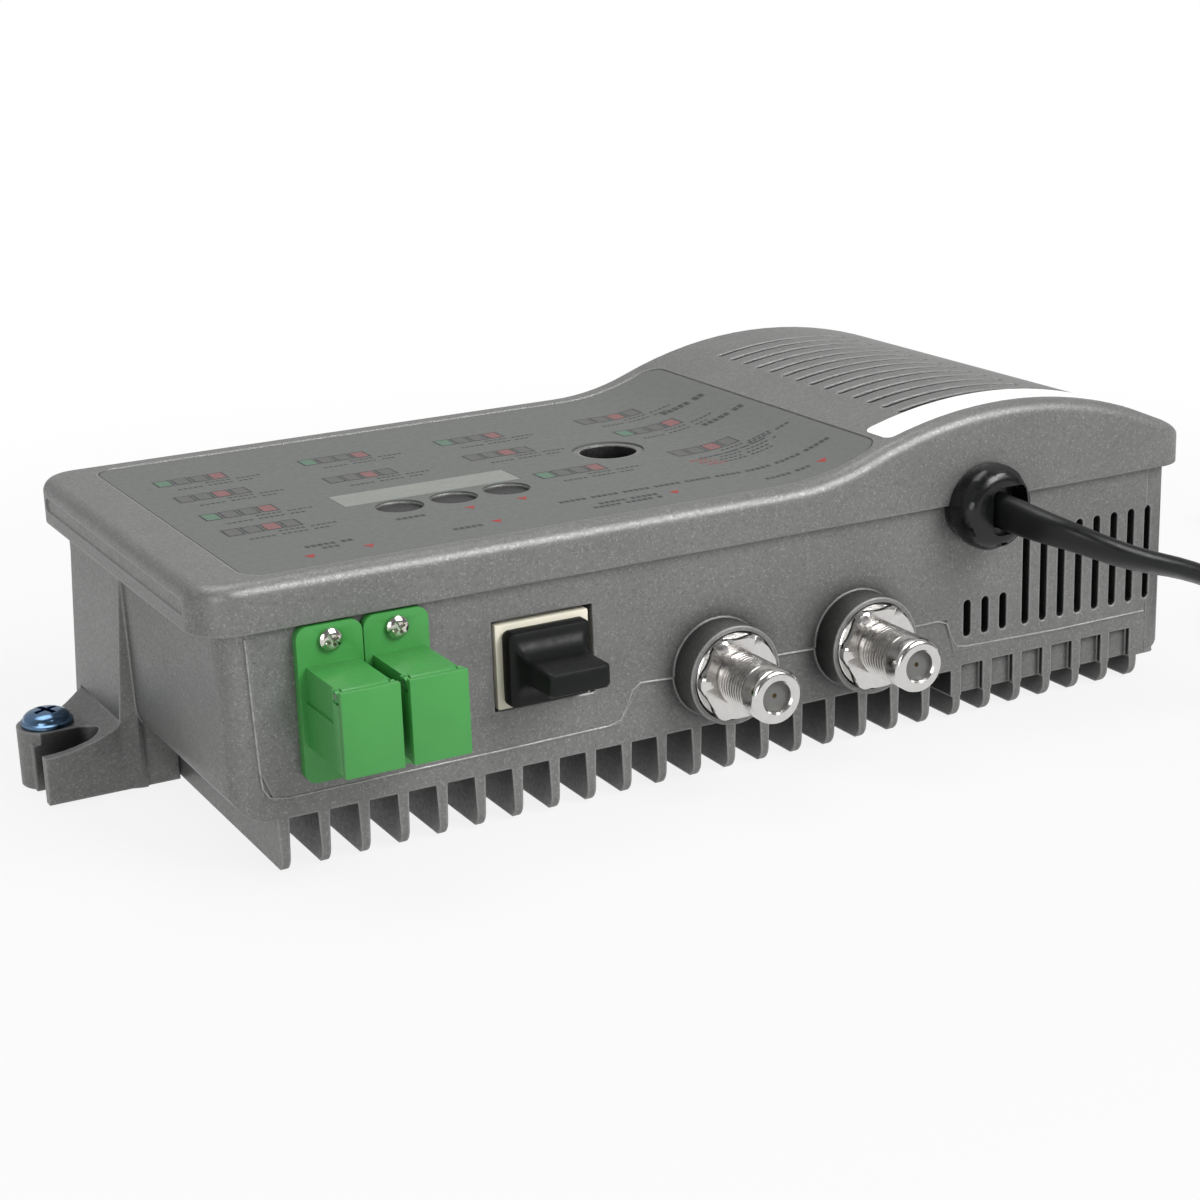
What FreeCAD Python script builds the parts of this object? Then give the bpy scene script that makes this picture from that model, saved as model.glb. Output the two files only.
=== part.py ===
"""Indoor cable television optical receiver: finned cast base, humped lid, ports and insides.

Millimetres. X runs along the front face, Y runs from the front face to the back, Z is up.
Sizes are measured from the front wall's plane, near its middle, on the plane the fins stand on.
write_parts moves the origin to the middle of the object's footprint without its cord.
"""
import math
import os
import re
from types import SimpleNamespace

import FreeCAD
import Part
import Sketcher

# Driving sizes, in millimetres
SIZES = {
    # Base casting
    "base_left": -94.0, "base_right": 91.6, "base_depth": 86.6, "base_corner": 5.0,
    "rim_level": 41.4, "wall": 2.2, "floor_level": 9.5, "floor_thick": 2.5,
    "pan_level": 4.5, "pan_left": 43.5, "pan_recess": 1.2, "pan_recess_top": 10.2,
    "left_bottom_round": 6.0, "right_bottom_round": 4.0, "wall_boss_depth": 0.25,
    # Cooling fins
    "fin_count": 26, "fin_pitch": 6.885, "fin_root": 2.0, "fin_tip": 1.35, "fin_round": 3.0,
    # Side pilasters and mounting feet
    "pilaster_front": 50.0, "pilaster_back": 80.0, "pilaster_out": 1.9,
    "foot_reach": 16.5, "foot_low": 8.5, "foot_high": 12.6, "foot_front": 50.0, "foot_back": 74.0,
    "foot_slot_centre": 54.9, "foot_slot_width": 6.0, "foot_slot_depth": 11.0,
    "lug_reach": 12.4, "lug_centre": 62.6, "lug_radius": 5.4, "lug_level": 10.5,
    # Lid casting
    "lid_left": -97.8, "lid_right": 93.7, "lid_front": -1.8, "lid_back": 88.5,
    "lid_corner": 7.0, "lid_level": 49.3, "lid_edge": 2.4, "lid_wall": 2.2,
    "hump_start": 8.0, "hump_crest_across": 55.0, "hump_crest_level": 58.0, "hump_radius": 84.0,
    "side_groove_low": 43.8, "side_groove_high": 46.4, "side_groove_depth": 0.7,
    # Lid vents over the power supply
    "lid_slot_count": 14, "lid_slot_pitch": 4.81, "lid_slot_width": 1.6, "lid_slot_first": 10.6,
    "lid_slot_left": 38.8, "lid_slot_right": 69.5,
    # Front wall vents
    "vent_width": 1.7, "vent_bottom": 15.6, "small_vent_top": 22.6, "small_vent_first": 46.7,
    "small_vent_pitch": 4.03, "small_vent_count": 3, "tall_vent_top": 33.8,
    "tall_vent_first": 59.9, "tall_vent_pitch": 4.06, "tall_vent_count": 8,
    # Overlay film and bare label
    "film_left": -88.0, "film_right": 29.3, "film_front": 2.2, "film_back": 83.0,
    "film_corner": 4.0, "film_thick": 0.3, "film_sunk": 0.15, "skin_gap": 0.02,
    "label_left": 30.5, "label_right": 86.0, "label_front": 1.6, "label_back": 9.2, "label_thick": 0.12,
    # Buttons and display
    "button_first": -51.2, "button_pitch": 10.1, "button_along": 28.3, "button_hole": 8.4,
    "button_gap": 0.3, "button_sunk": 0.9, "button_flange": 9.2, "button_flange_thick": 0.8,
    "button_stem": 5.0, "plunger_rise": 1.1,
    "window_left": -59.3, "window_right": -25.8, "window_front": 33.0, "window_back": 41.0,
    # Lid screw and its well
    "well_across": -3.2, "well_along": 42.7, "well_width": 10.6, "well_ring": 13.3,
    "well_floor": 38.4, "well_wall": 1.9, "lid_screw": 3.8, "lid_screw_head": 7.6,
    # Boards
    "board_level": 17.8, "board_thick": 1.6, "board_left": -90.5, "board_right": 39.6,
    "board_front": 6.8, "board_back": 83.4, "post_width": 6.0, "post_screw": 2.4,
    "board_post_inset": 4.5, "board_post_front": 7.5, "board_post_back": 5.0, "board_post_middle": -20.0,
    "lid_post": 9.0, "pan_head": 5.6, "pan_head_thick": 1.8, "screw_grip": 4.0,
    "control_level": 39.0, "control_left": -65.0, "control_right": -21.0,
    "control_front": 21.0, "control_back": 48.0, "pillar": 5.0, "pillar_inset": 3.0,
    "pillar_left_inset": 5.5,
    "supply_level": 9.9, "supply_left": 45.6, "supply_right": 88.4,
    "supply_front": 5.0, "supply_back": 82.6, "supply_post_inset": 4.0,
    # Optical adapters
    "adapter_first": -77.0, "adapter_pitch": 11.3, "adapter_level": 28.1,
    "adapter_wide": 9.4, "adapter_tall": 13.5, "adapter_reach": 16.4, "adapter_tail": 12.0,
    "adapter_flange_wide": 11.1, "adapter_flange_tall": 25.8, "adapter_flange_thick": 1.8,
    "adapter_screw_rise": 10.4, "adapter_screw": 1.8, "socket_wide": 7.6, "socket_tall": 9.3,
    "socket_web_front": -4.0, "socket_web_back": -1.0, "sleeve_wide": 3.2,
    "shutter_wide": 9.8, "shutter_tall": 13.8, "shutter_thick": 1.2, "shutter_gap": 0.3,
    "hinge_inset": 1.0, "hinge_pin": 0.9, "ear_thick": 0.8,
    # Network jack and its dust plug
    "jack_across": -39.2, "jack_wide": 17.2, "jack_top": 34.7, "jack_front": -0.1, "jack_depth": 15.0,
    "jack_socket_wide": 11.9, "jack_socket_low": 23.8, "jack_socket_high": 31.4,
    "jack_cut_wide": 18.6, "jack_cut_low": 20.0, "jack_cut_high": 35.5,
    "plug_flange_wide": 15.2, "plug_flange_low": 20.9, "plug_flange_high": 33.8,
    "plug_flange_thick": 2.6, "plug_gap": 0.2, "plug_nose": 5.6,
    "tab_wide": 11.3, "tab_level": 27.4, "tab_tall": 4.3, "tab_reach": 13.4,
    # Coaxial connectors
    "coax_first": -5.96, "coax_second": 22.61, "coax_level": 19.9, "coax_boss": 17.5,
    "coax_boss_reach": 6.1, "coax_seat": 15.8, "coax_seat_depth": 1.4, "coax_collar": 15.2,
    "coax_hex": 14.0, "coax_hex_thick": 1.9, "coax_neck": 8.9, "coax_neck_length": 1.0,
    "coax_thread": 9.52, "coax_reach": 19.5, "coax_mouth": 5.3, "coax_tail": 6.5,
    "coax_nut_thick": 3.0, "coax_pin": 0.9,
    # Cord, bushing and plug
    "bushing_across": 47.9, "bushing_level": 40.6, "bushing_head": 14.8, "bushing_flat": 12.8,
    "bushing_face": -7.0, "bushing_hole": 12.7, "bushing_shank": 12.3, "bushing_tail": 2.6,
    "cord_width": 5.2, "coil_across": 152.0, "coil_along": -15.0, "coil_radius": 28.5,
    "coil_thick": 14.0, "plug_across": 185.7, "plug_along": 20.0, "plug_length": 36.0, "plug_face_wide": 34.0,
    "plug_face_tall": 13.7, "plug_neck_wide": 13.0, "plug_neck_tall": 9.0,
    "plug_pin": 4.0, "plug_pin_length": 19.0, "plug_pin_pitch": 18.6,
    # Optical parts and shield on the main board
    "ring_across": -66.0, "ring_along": 63.0, "ring_radius": 14.0, "ring_thick": 2.4,
    "filter_across": -86.0, "filter_front": 34.0, "filter_width": 5.6, "filter_length": 32.0,
    "photodiode_across": -40.0, "photodiode_front": 56.0, "photodiode_width": 6.0,
    "photodiode_length": 12.0, "photodiode_rise": 4.0, "shield_skin": 0.3,
    # Fuse and transformer on the supply board
    "fuse_across": 77.5, "fuse_front": 13.0, "fuse_width": 5.2, "fuse_length": 19.0, "fuse_rise": 3.4,
    "core_left": 60.0, "core_front": 60.0, "core_length": 20.0, "core_width": 12.0, "core_height": 20.0,
    "core_limb": 3.4, "core_eye": 3.4, "core_yoke": 4.0, "winding_over": 3.5, "winding_gap": 0.2,
    "transistor_front": 51.0, "transistor_thick": 4.4, "transistor_wide": 10.0,
    "transistor_tall": 15.0, "transistor_rise": 3.0,
}

# Parts standing on the boards. Boxes: left, front, length, width, height
PHOTODIODE_MOUNT = (-44.0, 58.0, 8.0, 7.0, 7.0)
SHIELD = (-32.0, 49.0, 23.0, 25.0, 9.0)
CHIPS = [(6.0, 22.0, 14.0, 10.0, 2.4), (8.0, 54.0, 8.0, 8.0, 1.6), (-56.0, 24.0, 12.0, 12.0, 1.8)]
MAINS_TERMINAL = (58.0, 6.0, 12.0, 8.0, 10.0)
FUSE_CLIPS = [(74.5, 14.0, 6.0, 3.0, 6.2), (74.5, 29.0, 6.0, 3.0, 6.2)]
SAFETY_CAPACITOR = (50.0, 22.0, 8.0, 18.0, 14.0)
LINE_CHOKE = (62.0, 22.0, 9.0, 14.0, 15.0)
TRANSFORMER_BASE = (61.0, 57.0, 18.0, 18.0, 2.0)
HEATSINK = (48.5, 44.0, 2.0, 24.0, 24.0)
# Upright cans: middle across, middle along, diameter, height
BOARD_CAPACITORS = [(30.0, 34.0, 8.0, 11.5), (30.0, 45.0, 8.0, 11.5), (30.0, 56.0, 8.0, 11.5)]
FILTER_COILS = [(8.0, 14.0, 5.0, 5.0), (16.0, 14.0, 5.0, 5.0)]
SUPPLY_CAPACITORS = [(76.5, 48.0, 16.0, 26.0), (84.0, 66.0, 6.4, 12.0), (56.5, 76.0, 7.0, 14.0)]

# Middle lines of cords, fibres and wires
CORD_ROUTE = [(47.9, -5.6, 40.6), (48.2, -13.8, 40.0), (52.5, -22.2, 38.6), (60.6, -28.1, 34.7),
              (71.7, -30.2, 31.5), (85.0, -31.0, 25.2), (101.0, -34.9, 18.8), (118.0, -41.5, 13.0),
              (134.0, -47.3, 9.3), (152.0, -48.7, 7.9)]
LEAD_ROUTE = [(185.7, -15.0, 2.75), (186.1, -7.5, 2.75), (186.3, 3.0, 3.6), (185.7, 12.5, 6.85),
              (185.7, 20.0, 6.85)]
FIBRE_ROUTES = [[(-77.0, 28.0, 28.1), (-77.0, 31.5, 28.1), (-77.0, 38.0, 26.2), (-76.5, 46.0, 23.5),
                 (-75.9, 53.1, 22.3)],
                [(-65.7, 28.0, 28.1), (-65.7, 31.5, 28.1), (-66.2, 36.5, 26.2), (-66.6, 42.0, 24.0),
                 (-66.0, 48.8, 22.3)]]
WIRE_ROUTES = [[(46.4, 2.6, 40.6), (46.4, 6.0, 40.6), (48.6, 8.4, 38.0), (53.4, 8.6, 32.6),
                (61.0, 10.0, 28.5), (61.0, 10.0, 21.5)],
               [(49.4, 2.6, 40.6), (49.4, 6.0, 40.6), (51.6, 8.4, 38.0), (56.4, 8.6, 32.6),
                (67.0, 10.0, 28.5), (67.0, 10.0, 21.5)]]
FIBRE_RADIUS = 0.45
WIRE_RADIUS = 0.9
size = SimpleNamespace(**SIZES)

doc = FreeCAD.newDocument("optical_receiver")
sheet = doc.addObject("Spreadsheet::Sheet", "dims")
for row, (alias, value) in enumerate(SIZES.items(), 1):
    sheet.set("A%d" % row, alias)
    sheet.set("B%d" % row, str(value))
    sheet.setAlias("B%d" % row, alias)
doc.recompute()

NODES = {}
V = FreeCAD.Vector
OVER = 1.0


# Helpers: every expression is written with the names of SIZES
def bind(text):
    return re.sub(r"[a-z][a-z_]+", r"dims.\g<0>", str(text))


def keep(name, obj):
    obj.Label = name
    NODES[name] = obj
    return obj


def put(obj, x, y, z):
    for axis, text in zip("xyz", (x, y, z)):
        obj.setExpression("Placement.Base." + axis, bind(text))
    return obj


def box(name, x, y, z, length, width, height):
    obj = doc.addObject("Part::Box", name)
    for prop, text in (("Length", length), ("Width", width), ("Height", height)):
        obj.setExpression(prop, bind(text))
    return put(obj, x, y, z)


def turned(axis):
    return {"z": FreeCAD.Rotation(), "y": FreeCAD.Rotation(V(1, 0, 0), -90),
            "x": FreeCAD.Rotation(V(0, 1, 0), 90)}[axis]


def rod(name, x, y, z, diameter, length, axis="z"):
    obj = doc.addObject("Part::Cylinder", name)
    obj.setExpression("Radius", bind("(%s) / 2" % diameter))
    obj.setExpression("Height", bind(length))
    obj.Placement = FreeCAD.Placement(V(), turned(axis))
    return put(obj, x, y, z)


def cone(name, x, y, z, start, end, length, axis="z"):
    obj = doc.addObject("Part::Cone", name)
    obj.setExpression("Radius1", bind("(%s) / 2" % start))
    obj.setExpression("Radius2", bind("(%s) / 2" % end))
    obj.setExpression("Height", bind(length))
    obj.Placement = FreeCAD.Placement(V(), turned(axis))
    return put(obj, x, y, z)


def hexagon(name, x, y, z, across, length):
    obj = doc.addObject("Part::Prism", name)
    obj.Polygon = 6
    obj.setExpression("Circumradius", bind("(%s) / sqrt(3)" % across).replace("dims.sqrt", "sqrt"))
    obj.setExpression("Height", bind(length))
    obj.Placement = FreeCAD.Placement(V(), turned("y"))
    return put(obj, x, y, z)


def group(name, parts):
    obj = doc.addObject("Part::Compound", name)
    obj.Links = list(parts)
    return obj


def fuse(name, parts):
    obj = doc.addObject("Part::MultiFuse", name)
    obj.Shapes = list(parts)
    return obj


def cut(name, base, tools):
    obj = doc.addObject("Part::Cut", name)
    obj.Base = base
    obj.Tool = tools[0] if len(tools) == 1 else group(name + "_tools", tools)
    return obj


def common(name, first, second):
    obj = doc.addObject("Part::MultiCommon", name)
    obj.Shapes = [first, second]
    return obj


def point(pair):
    return V(pair[0], pair[1], 0)


def outline(sketch, path):
    """Closed outline: a start point, then points for lines and (middle, end) pairs for arcs."""
    here = path[0]
    for step in path[1:]:
        if isinstance(step[0], tuple):
            sketch.addGeometry(Part.Arc(point(here), point(step[0]), point(step[1])))
            here = step[1]
        else:
            sketch.addGeometry(Part.LineSegment(point(here), point(step)))
            here = step
    if math.dist(here, path[0]) > 1e-6:
        sketch.addGeometry(Part.LineSegment(point(here), point(path[0])))


def round_rect(x0, y0, x1, y1, r):
    k = r * (1 - math.sqrt(0.5))
    return [(x0 + r, y0), (x1 - r, y0), ((x1 - k, y0 + k), (x1, y0 + r)),
            (x1, y1 - r), ((x1 - k, y1 - k), (x1 - r, y1)),
            (x0 + r, y1), ((x0 + k, y1 - k), (x0, y1 - r)),
            (x0, y0 + r), ((x0 + k, y0 + k), (x0 + r, y0))]


def upright_slot(centre, low, high, width):
    r = width / 2
    return [(centre - r, low + r), ((centre, low), (centre + r, low + r)),
            (centre + r, high - r), ((centre, high), (centre - r, high - r))]


def rect(sketch, x, y, wide, tall):
    """Rectangle held by constraints: corner from the sketch origin, width and height."""
    corners = [V(1, 1, 0), V(2, 1, 0), V(2, 2, 0), V(1, 2, 0)]
    first = sketch.GeometryCount
    for i in range(4):
        sketch.addGeometry(Part.LineSegment(corners[i], corners[(i + 1) % 4]))
    for i in range(4):
        sketch.addConstraint(Sketcher.Constraint("Coincident", first + i, 2, first + (i + 1) % 4, 1))
    for i, way in enumerate(("Horizontal", "Vertical", "Horizontal", "Vertical")):
        sketch.addConstraint(Sketcher.Constraint(way, first + i))
    held = (("DistanceX", -1, 1, first, 1, x), ("DistanceY", -1, 1, first, 1, y),
            ("DistanceX", first, 1, first, 2, wide), ("DistanceY", first + 1, 1, first + 1, 2, tall))
    for kind, one, end, two, far, text in held:
        index = sketch.addConstraint(Sketcher.Constraint(kind, one, end, two, far, 1.0))
        sketch.setExpression("Constraints[%d]" % index, bind(text))


def circle(sketch, x, y, diameter):
    """Circle held by constraints: centre from the sketch origin and diameter."""
    index = sketch.addGeometry(Part.Circle(V(1, 1, 0), V(0, 0, 1), 1))
    for kind, text in (("DistanceX", x), ("DistanceY", y)):
        held = sketch.addConstraint(Sketcher.Constraint(kind, -1, 1, index, 3, 1.0))
        sketch.setExpression("Constraints[%d]" % held, bind(text))
    held = sketch.addConstraint(Sketcher.Constraint("Diameter", index, 2.0))
    sketch.setExpression("Constraints[%d]" % held, bind(diameter))


class Casting:
    """A body built up with sketches on its own origin planes."""

    def __init__(self, name):
        self.body = doc.addObject("PartDesign::Body", name)
        self.name = name

    def sketch(self, name, role, offset="0"):
        made = self.body.newObject("Sketcher::SketchObject", self.name + "_" + name + "_sketch")
        plane = [f for f in self.body.Origin.OriginFeatures if f.Role == role][0]
        made.AttachmentSupport = [(plane, "")]
        made.MapMode = "FlatFace"
        made.setExpression("AttachmentOffset.Base.z", bind(offset))
        return made

    def feature(self, kind, name, profile, length=None, flip=False):
        made = self.body.newObject("PartDesign::" + kind, self.name + "_" + name)
        made.Profile = profile
        made.Reversed = flip
        if length is None:
            made.Type = 1
            made.Midplane = True
        else:
            made.Type = 0
            made.setExpression("Length", bind(length))
        return made

    def pad(self, name, profile, length, flip=False):
        return self.feature("Pad", name, profile, length, flip)

    def pocket(self, name, profile, length=None, flip=False):
        doc.recompute()
        before = self.body.Shape.Volume
        made = self.feature("Pocket", name, profile, length, flip)
        doc.recompute()
        if not self.body.Shape.Volume < before - 1e-3:
            raise RuntimeError("pocket %s of %s cuts nothing" % (name, self.name))
        return made

    def row(self, name, feature, count, pitch, axis="H_Axis"):
        made = self.body.newObject("PartDesign::LinearPattern", self.name + "_" + name)
        made.Originals = [feature]
        made.Direction = (feature.Profile[0], [axis])
        made.setExpression("Length", bind("(%s - 1) * %s" % (count, pitch)))
        made.setExpression("Occurrences", bind(count))
        self.body.Tip = made
        return made

    def round(self, name, edges, radius):
        doc.recompute()
        base = self.body.Tip
        names = ["Edge%d" % (i + 1) for i, e in enumerate(base.Shape.Edges) if edges(e)]
        made = self.body.newObject("PartDesign::Fillet", self.name + "_" + name)
        made.Base = (base, names)
        made.setExpression("Radius", bind(radius))
        return made


def tube(path, radius, report=None):
    """Solid tube on straight runs joined by tangent arcs as large as the runs allow."""
    spots = [V(*p) for p in path]
    edges = []
    start = spots[0]
    for i in range(1, len(spots) - 1):
        back = spots[i - 1] - spots[i]
        ahead = spots[i + 1] - spots[i]
        shorter = 0.45 * min(back.Length, ahead.Length)
        turn = math.pi - back.getAngle(ahead)
        back.normalize()
        ahead.normalize()
        into = spots[i] + back * shorter
        out = spots[i] + ahead * shorter
        bend = shorter / math.tan(turn / 2)
        middle = (back + ahead).normalize()
        rise = math.hypot(shorter, bend) - bend
        edges.append(Part.LineSegment(start, into).toShape())
        edges.append(Part.Arc(into, spots[i] + middle * rise, out).toShape())
        start = out
        if report:
            print("%s bend %d: radius %.1f mm, turn %.0f degrees" % (report, i, bend, math.degrees(turn)))
    edges.append(Part.LineSegment(start, spots[-1]).toShape())
    spine = Part.Wire(edges)
    ring = Part.Wire([Part.Circle(spots[0], spots[1] - spots[0], radius).toShape()])
    solid = spine.makePipeShell([ring], True, False)
    length = sum(edge.Length for edge in edges)
    if report:
        share = solid.Volume / (math.pi * radius ** 2 * length)
        print("%s: length %.1f mm, volume over section times length %.4f" % (report, length, share))
    return Part.Solid(solid) if solid.ShapeType != "Solid" else solid


def feature(name, shape):
    obj = doc.addObject("Part::Feature", name)
    obj.Shape = shape
    obj.Placement = FreeCAD.Placement()
    return obj


# The lid's top line: flat, a hollow arc up, then a round arc over the power supply
def hollow_radius():
    rise = size.hump_crest_level - size.lid_level
    run = size.hump_crest_across - size.hump_start
    return (run ** 2 / rise - (2 * size.hump_radius - rise)) / 2


def top_line(drop, left, right):
    """Path of the lid's top, lowered by drop, from left to right; both ends included."""
    hollow = hollow_radius() + drop
    crest = size.hump_radius - drop
    hollow_centre = (size.hump_start, size.lid_level + hollow_radius())
    crest_centre = (size.hump_crest_across, size.hump_crest_level - size.hump_radius)
    slope = math.atan2(crest_centre[0] - hollow_centre[0], hollow_centre[1] - crest_centre[1])

    def on_hollow(angle):
        return (hollow_centre[0] + hollow * math.sin(angle), hollow_centre[1] - hollow * math.cos(angle))

    def on_crest(across):
        return (across, crest_centre[1] + math.sqrt(crest ** 2 - (across - crest_centre[0]) ** 2))

    join = on_hollow(slope)
    low = size.lid_level - drop
    if right <= join[0]:
        end = math.asin((right - hollow_centre[0]) / hollow)
        return [(left, low), (size.hump_start, low), (on_hollow(end / 2), on_hollow(end))]
    if left >= join[0]:
        return [on_crest(left), (on_crest((left + right) / 2), on_crest(right))]
    return [(left, low), (size.hump_start, low), (on_hollow(slope / 2), join),
            (on_crest((join[0] + right) / 2), on_crest(right))]


def under_top(drop, left, right, low):
    return top_line(drop, left, right) + [(right, low), (left, low)]


def band(drop, thick, left, right):
    """Closed outline of a skin that follows the lid's top."""
    upper = top_line(drop, left, right)
    lower = top_line(drop + thick, left, right)
    back = []
    ends = [p[1] if isinstance(p[0], tuple) else p for p in lower]
    for i in range(len(lower) - 1, 0, -1):
        if isinstance(lower[i][0], tuple):
            back.append((lower[i][0], ends[i - 1]))
        else:
            back.append(ends[i - 1])
    return upper + [ends[-1]] + back


def fin_across(index):
    return (index - (size.fin_count - 1) / 2) * size.fin_pitch


def base_casting():
    cast = Casting("base_casting_body")
    left, right, depth = size.base_left, size.base_right, size.base_depth
    plan = cast.sketch("plan", "XY_Plane", "pan_level")
    outline(plan, round_rect(left, 0, right, depth, size.base_corner))
    cast.pad("block", plan, "rim_level - pan_level")

    # Underside steps up beside the power supply pan, with rounded long edges
    under = cast.sketch("under", "XZ_Plane")
    r, s = size.left_bottom_round, size.right_bottom_round
    k = 1 - math.sqrt(0.5)
    low = size.pan_level - OVER
    outline(under, [(left - OVER, size.floor_level + r), (left, size.floor_level + r),
                    ((left + r * k, size.floor_level + r * k), (left + r, size.floor_level)),
                    (size.pan_left, size.floor_level), (size.pan_left, low), (left - OVER, low)])
    outline(under, [(right, size.pan_level + s), ((right - s * k, size.pan_level + s * k),
                    (right - s, size.pan_level)), (right - s, low), (right + OVER, low),
                    (right + OVER, size.pan_level + s)])
    cast.pocket("underside", under)

    # Fins: one tapered fin, repeated, then both lower corners rounded
    fin = cast.sketch("fin", "XZ_Plane", "-base_depth")
    first = fin_across(0)
    root, tip = size.fin_root / 2, size.fin_tip / 2
    top = size.floor_level + OVER / 2
    outline(fin, [(first - root, top), (first - tip, tip), ((first, 0), (first + tip, tip)),
                  (first + root, top)])
    blade = cast.pad("fin", fin, "base_depth")
    cast.row("fins", blade, "fin_count", "fin_pitch")
    doc.recompute()
    ends = cast.sketch("fin_ends", "YZ_Plane")
    r = size.fin_round
    k = r * (1 - math.sqrt(0.5))
    for edge, way in ((0, 1), (depth, -1)):
        outline(ends, [(edge + way * r, 0), ((edge + way * k, k), (edge, r)), (edge - way * OVER, r),
                       (edge - way * OVER, -OVER), (edge + way * r, -OVER)])
    cast.pocket("fin_corners", ends)

    # Recessed panels between the fins of the pan
    panels = cast.sketch("panels", "XZ_Plane")
    for index in range(int(size.fin_count) - 1):
        start = fin_across(index) + root
        if start < size.pan_left:
            continue
        stop = fin_across(index + 1) - root
        outline(panels, [(start, size.pan_level - OVER), (stop, size.pan_level - OVER),
                         (stop, size.pan_recess_top), (start, size.pan_recess_top)])
    cast.pocket("pan_panels", panels, "pan_recess")

    # Raised field left on the front wall by the die's slider
    field = cast.sketch("field", "XZ_Plane")
    step, corner = size.pan_recess_top + 3.0, size.coax_level - 0.3
    outline(field, [(left + 4.0, size.rim_level), (left + 4.6, step + 5.0), (left + 6.6, step),
                    (-25.2, step), (-21.2, corner), (42.2, corner), (43.8, step), (right - 3.6, step),
                    (right - 3.6, size.rim_level)])
    cast.pad("front_field", field, "wall_boss_depth")

    # Connector bosses
    bosses = cast.sketch("bosses", "XZ_Plane")
    for across in ("coax_first", "coax_second"):
        circle(bosses, across, "coax_level", "coax_boss")
    cast.pad("bosses", bosses, "coax_boss_reach")

    # Pilasters and feet on both sides
    for side, edge in (("left", left), ("right", right)):
        way = -1 if side == "left" else 1
        pilaster = cast.sketch(side + "_pilaster", "XY_Plane")
        out = edge + way * size.pilaster_out
        outline(pilaster, [(edge - way, size.pilaster_front - 0.6), (edge, size.pilaster_front - 0.6),
                           (out, size.pilaster_front + 0.4), (out, size.pilaster_back - 0.8),
                           (edge, size.pilaster_back), (edge - way, size.pilaster_back)])
        cast.pad(side + "_pilaster", pilaster, "rim_level")
        side_view = cast.sketch(side + "_foot", "XZ_Plane", "-foot_front")
        end = edge + way * size.foot_reach
        rise = size.foot_high - size.foot_low
        outline(side_view, [(edge - way, 0), (end, 0), (end, size.foot_low),
                            ((edge + way * size.foot_reach * 0.5, size.foot_low + rise * 0.3),
                             (edge + way * size.pilaster_out, size.foot_high)),
                            (edge - way, size.foot_high)])
        cast.pad(side + "_foot", side_view, "foot_back - foot_front", True)
        lug = cast.sketch(side + "_lug", "XY_Plane")
        hub = edge + way * size.lug_reach
        near_side, far_side = size.lug_centre - size.lug_radius, size.lug_centre + size.lug_radius
        outline(lug, [(edge, near_side), (hub, near_side),
                      ((hub + way * size.lug_radius, size.lug_centre), (hub, far_side)), (edge, far_side)])
        cast.pad(side + "_lug", lug, "lug_level")
        trim = cast.sketch(side + "_trim", "XY_Plane", "lug_level + foot_high")
        slot_end = end - way * (size.foot_slot_depth - size.foot_slot_width / 2)
        low, high = (size.foot_slot_centre - size.foot_slot_width / 2,
                     size.foot_slot_centre + size.foot_slot_width / 2)
        outline(trim, [(end + way * OVER, low), (slot_end, low),
                       ((slot_end - way * size.foot_slot_width / 2, size.foot_slot_centre), (slot_end, high)),
                       (end + way * OVER, high)])
        far = end + way * OVER
        tail = size.lug_centre + size.lug_radius
        outline(trim, [(hub, tail), (far, tail), (far, size.foot_back + OVER),
                       (edge + way * 3.0, size.foot_back + OVER), (edge + way * 3.0, size.foot_back)])
        cast.pocket(side + "_slot", trim)

    # Hollow: main bay, power supply bay, wire notch in the partition
    bays = cast.sketch("main_bay", "XY_Plane", "rim_level")
    inner = size.base_corner - size.wall
    partition = size.pan_left - 2.0
    outline(bays, round_rect(left + size.wall, size.wall, partition, depth - size.wall, inner))
    cast.pocket("main_bay", bays, "rim_level - floor_level - floor_thick")
    bays = cast.sketch("supply_bay", "XY_Plane", "rim_level")
    outline(bays, round_rect(size.pan_left, size.wall, right - size.wall, depth - size.wall, inner))
    cast.pocket("supply_bay", bays, "rim_level - pan_level - floor_thick")

    # Posts for the boards and the lid screw
    posts = cast.sketch("board_posts", "XY_Plane", "floor_level + floor_thick / 2")
    for x, y in BOARD_POSTS:
        circle(posts, x, y, "post_width")
    cast.pad("board_posts", posts, "board_level - floor_level - floor_thick / 2")
    posts = cast.sketch("supply_posts", "XY_Plane", "pan_level + floor_thick / 2")
    for x, y in SUPPLY_POSTS:
        circle(posts, x, y, "post_width")
    cast.pad("supply_posts", posts, "supply_level - pan_level - floor_thick / 2")
    posts = cast.sketch("lid_post", "XY_Plane", "floor_level + floor_thick / 2")
    circle(posts, "well_across", "well_along", "lid_post")
    cast.pad("lid_post", posts, "well_floor - well_wall - floor_level - floor_thick / 2")
    holes = cast.sketch("board_holes", "XY_Plane", "board_level")
    for x, y in BOARD_POSTS:
        circle(holes, x, y, "post_screw")
    cast.pocket("board_holes", holes, "5.0")
    holes = cast.sketch("supply_holes", "XY_Plane", "supply_level")
    for x, y in SUPPLY_POSTS:
        circle(holes, x, y, "post_screw")
    cast.pocket("supply_holes", holes, "4.6")
    holes = cast.sketch("lid_hole", "XY_Plane", "well_floor - well_wall")
    circle(holes, "well_across", "well_along", "lid_screw + 0.1")
    cast.pocket("lid_hole", holes, "12.0")
    holes = cast.sketch("ground_hole", "XY_Plane", "lug_level")
    circle(holes, "base_left - lug_reach", "lug_centre", "4.1")
    cast.pocket("ground_hole", holes, "lug_level + 1")

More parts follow.
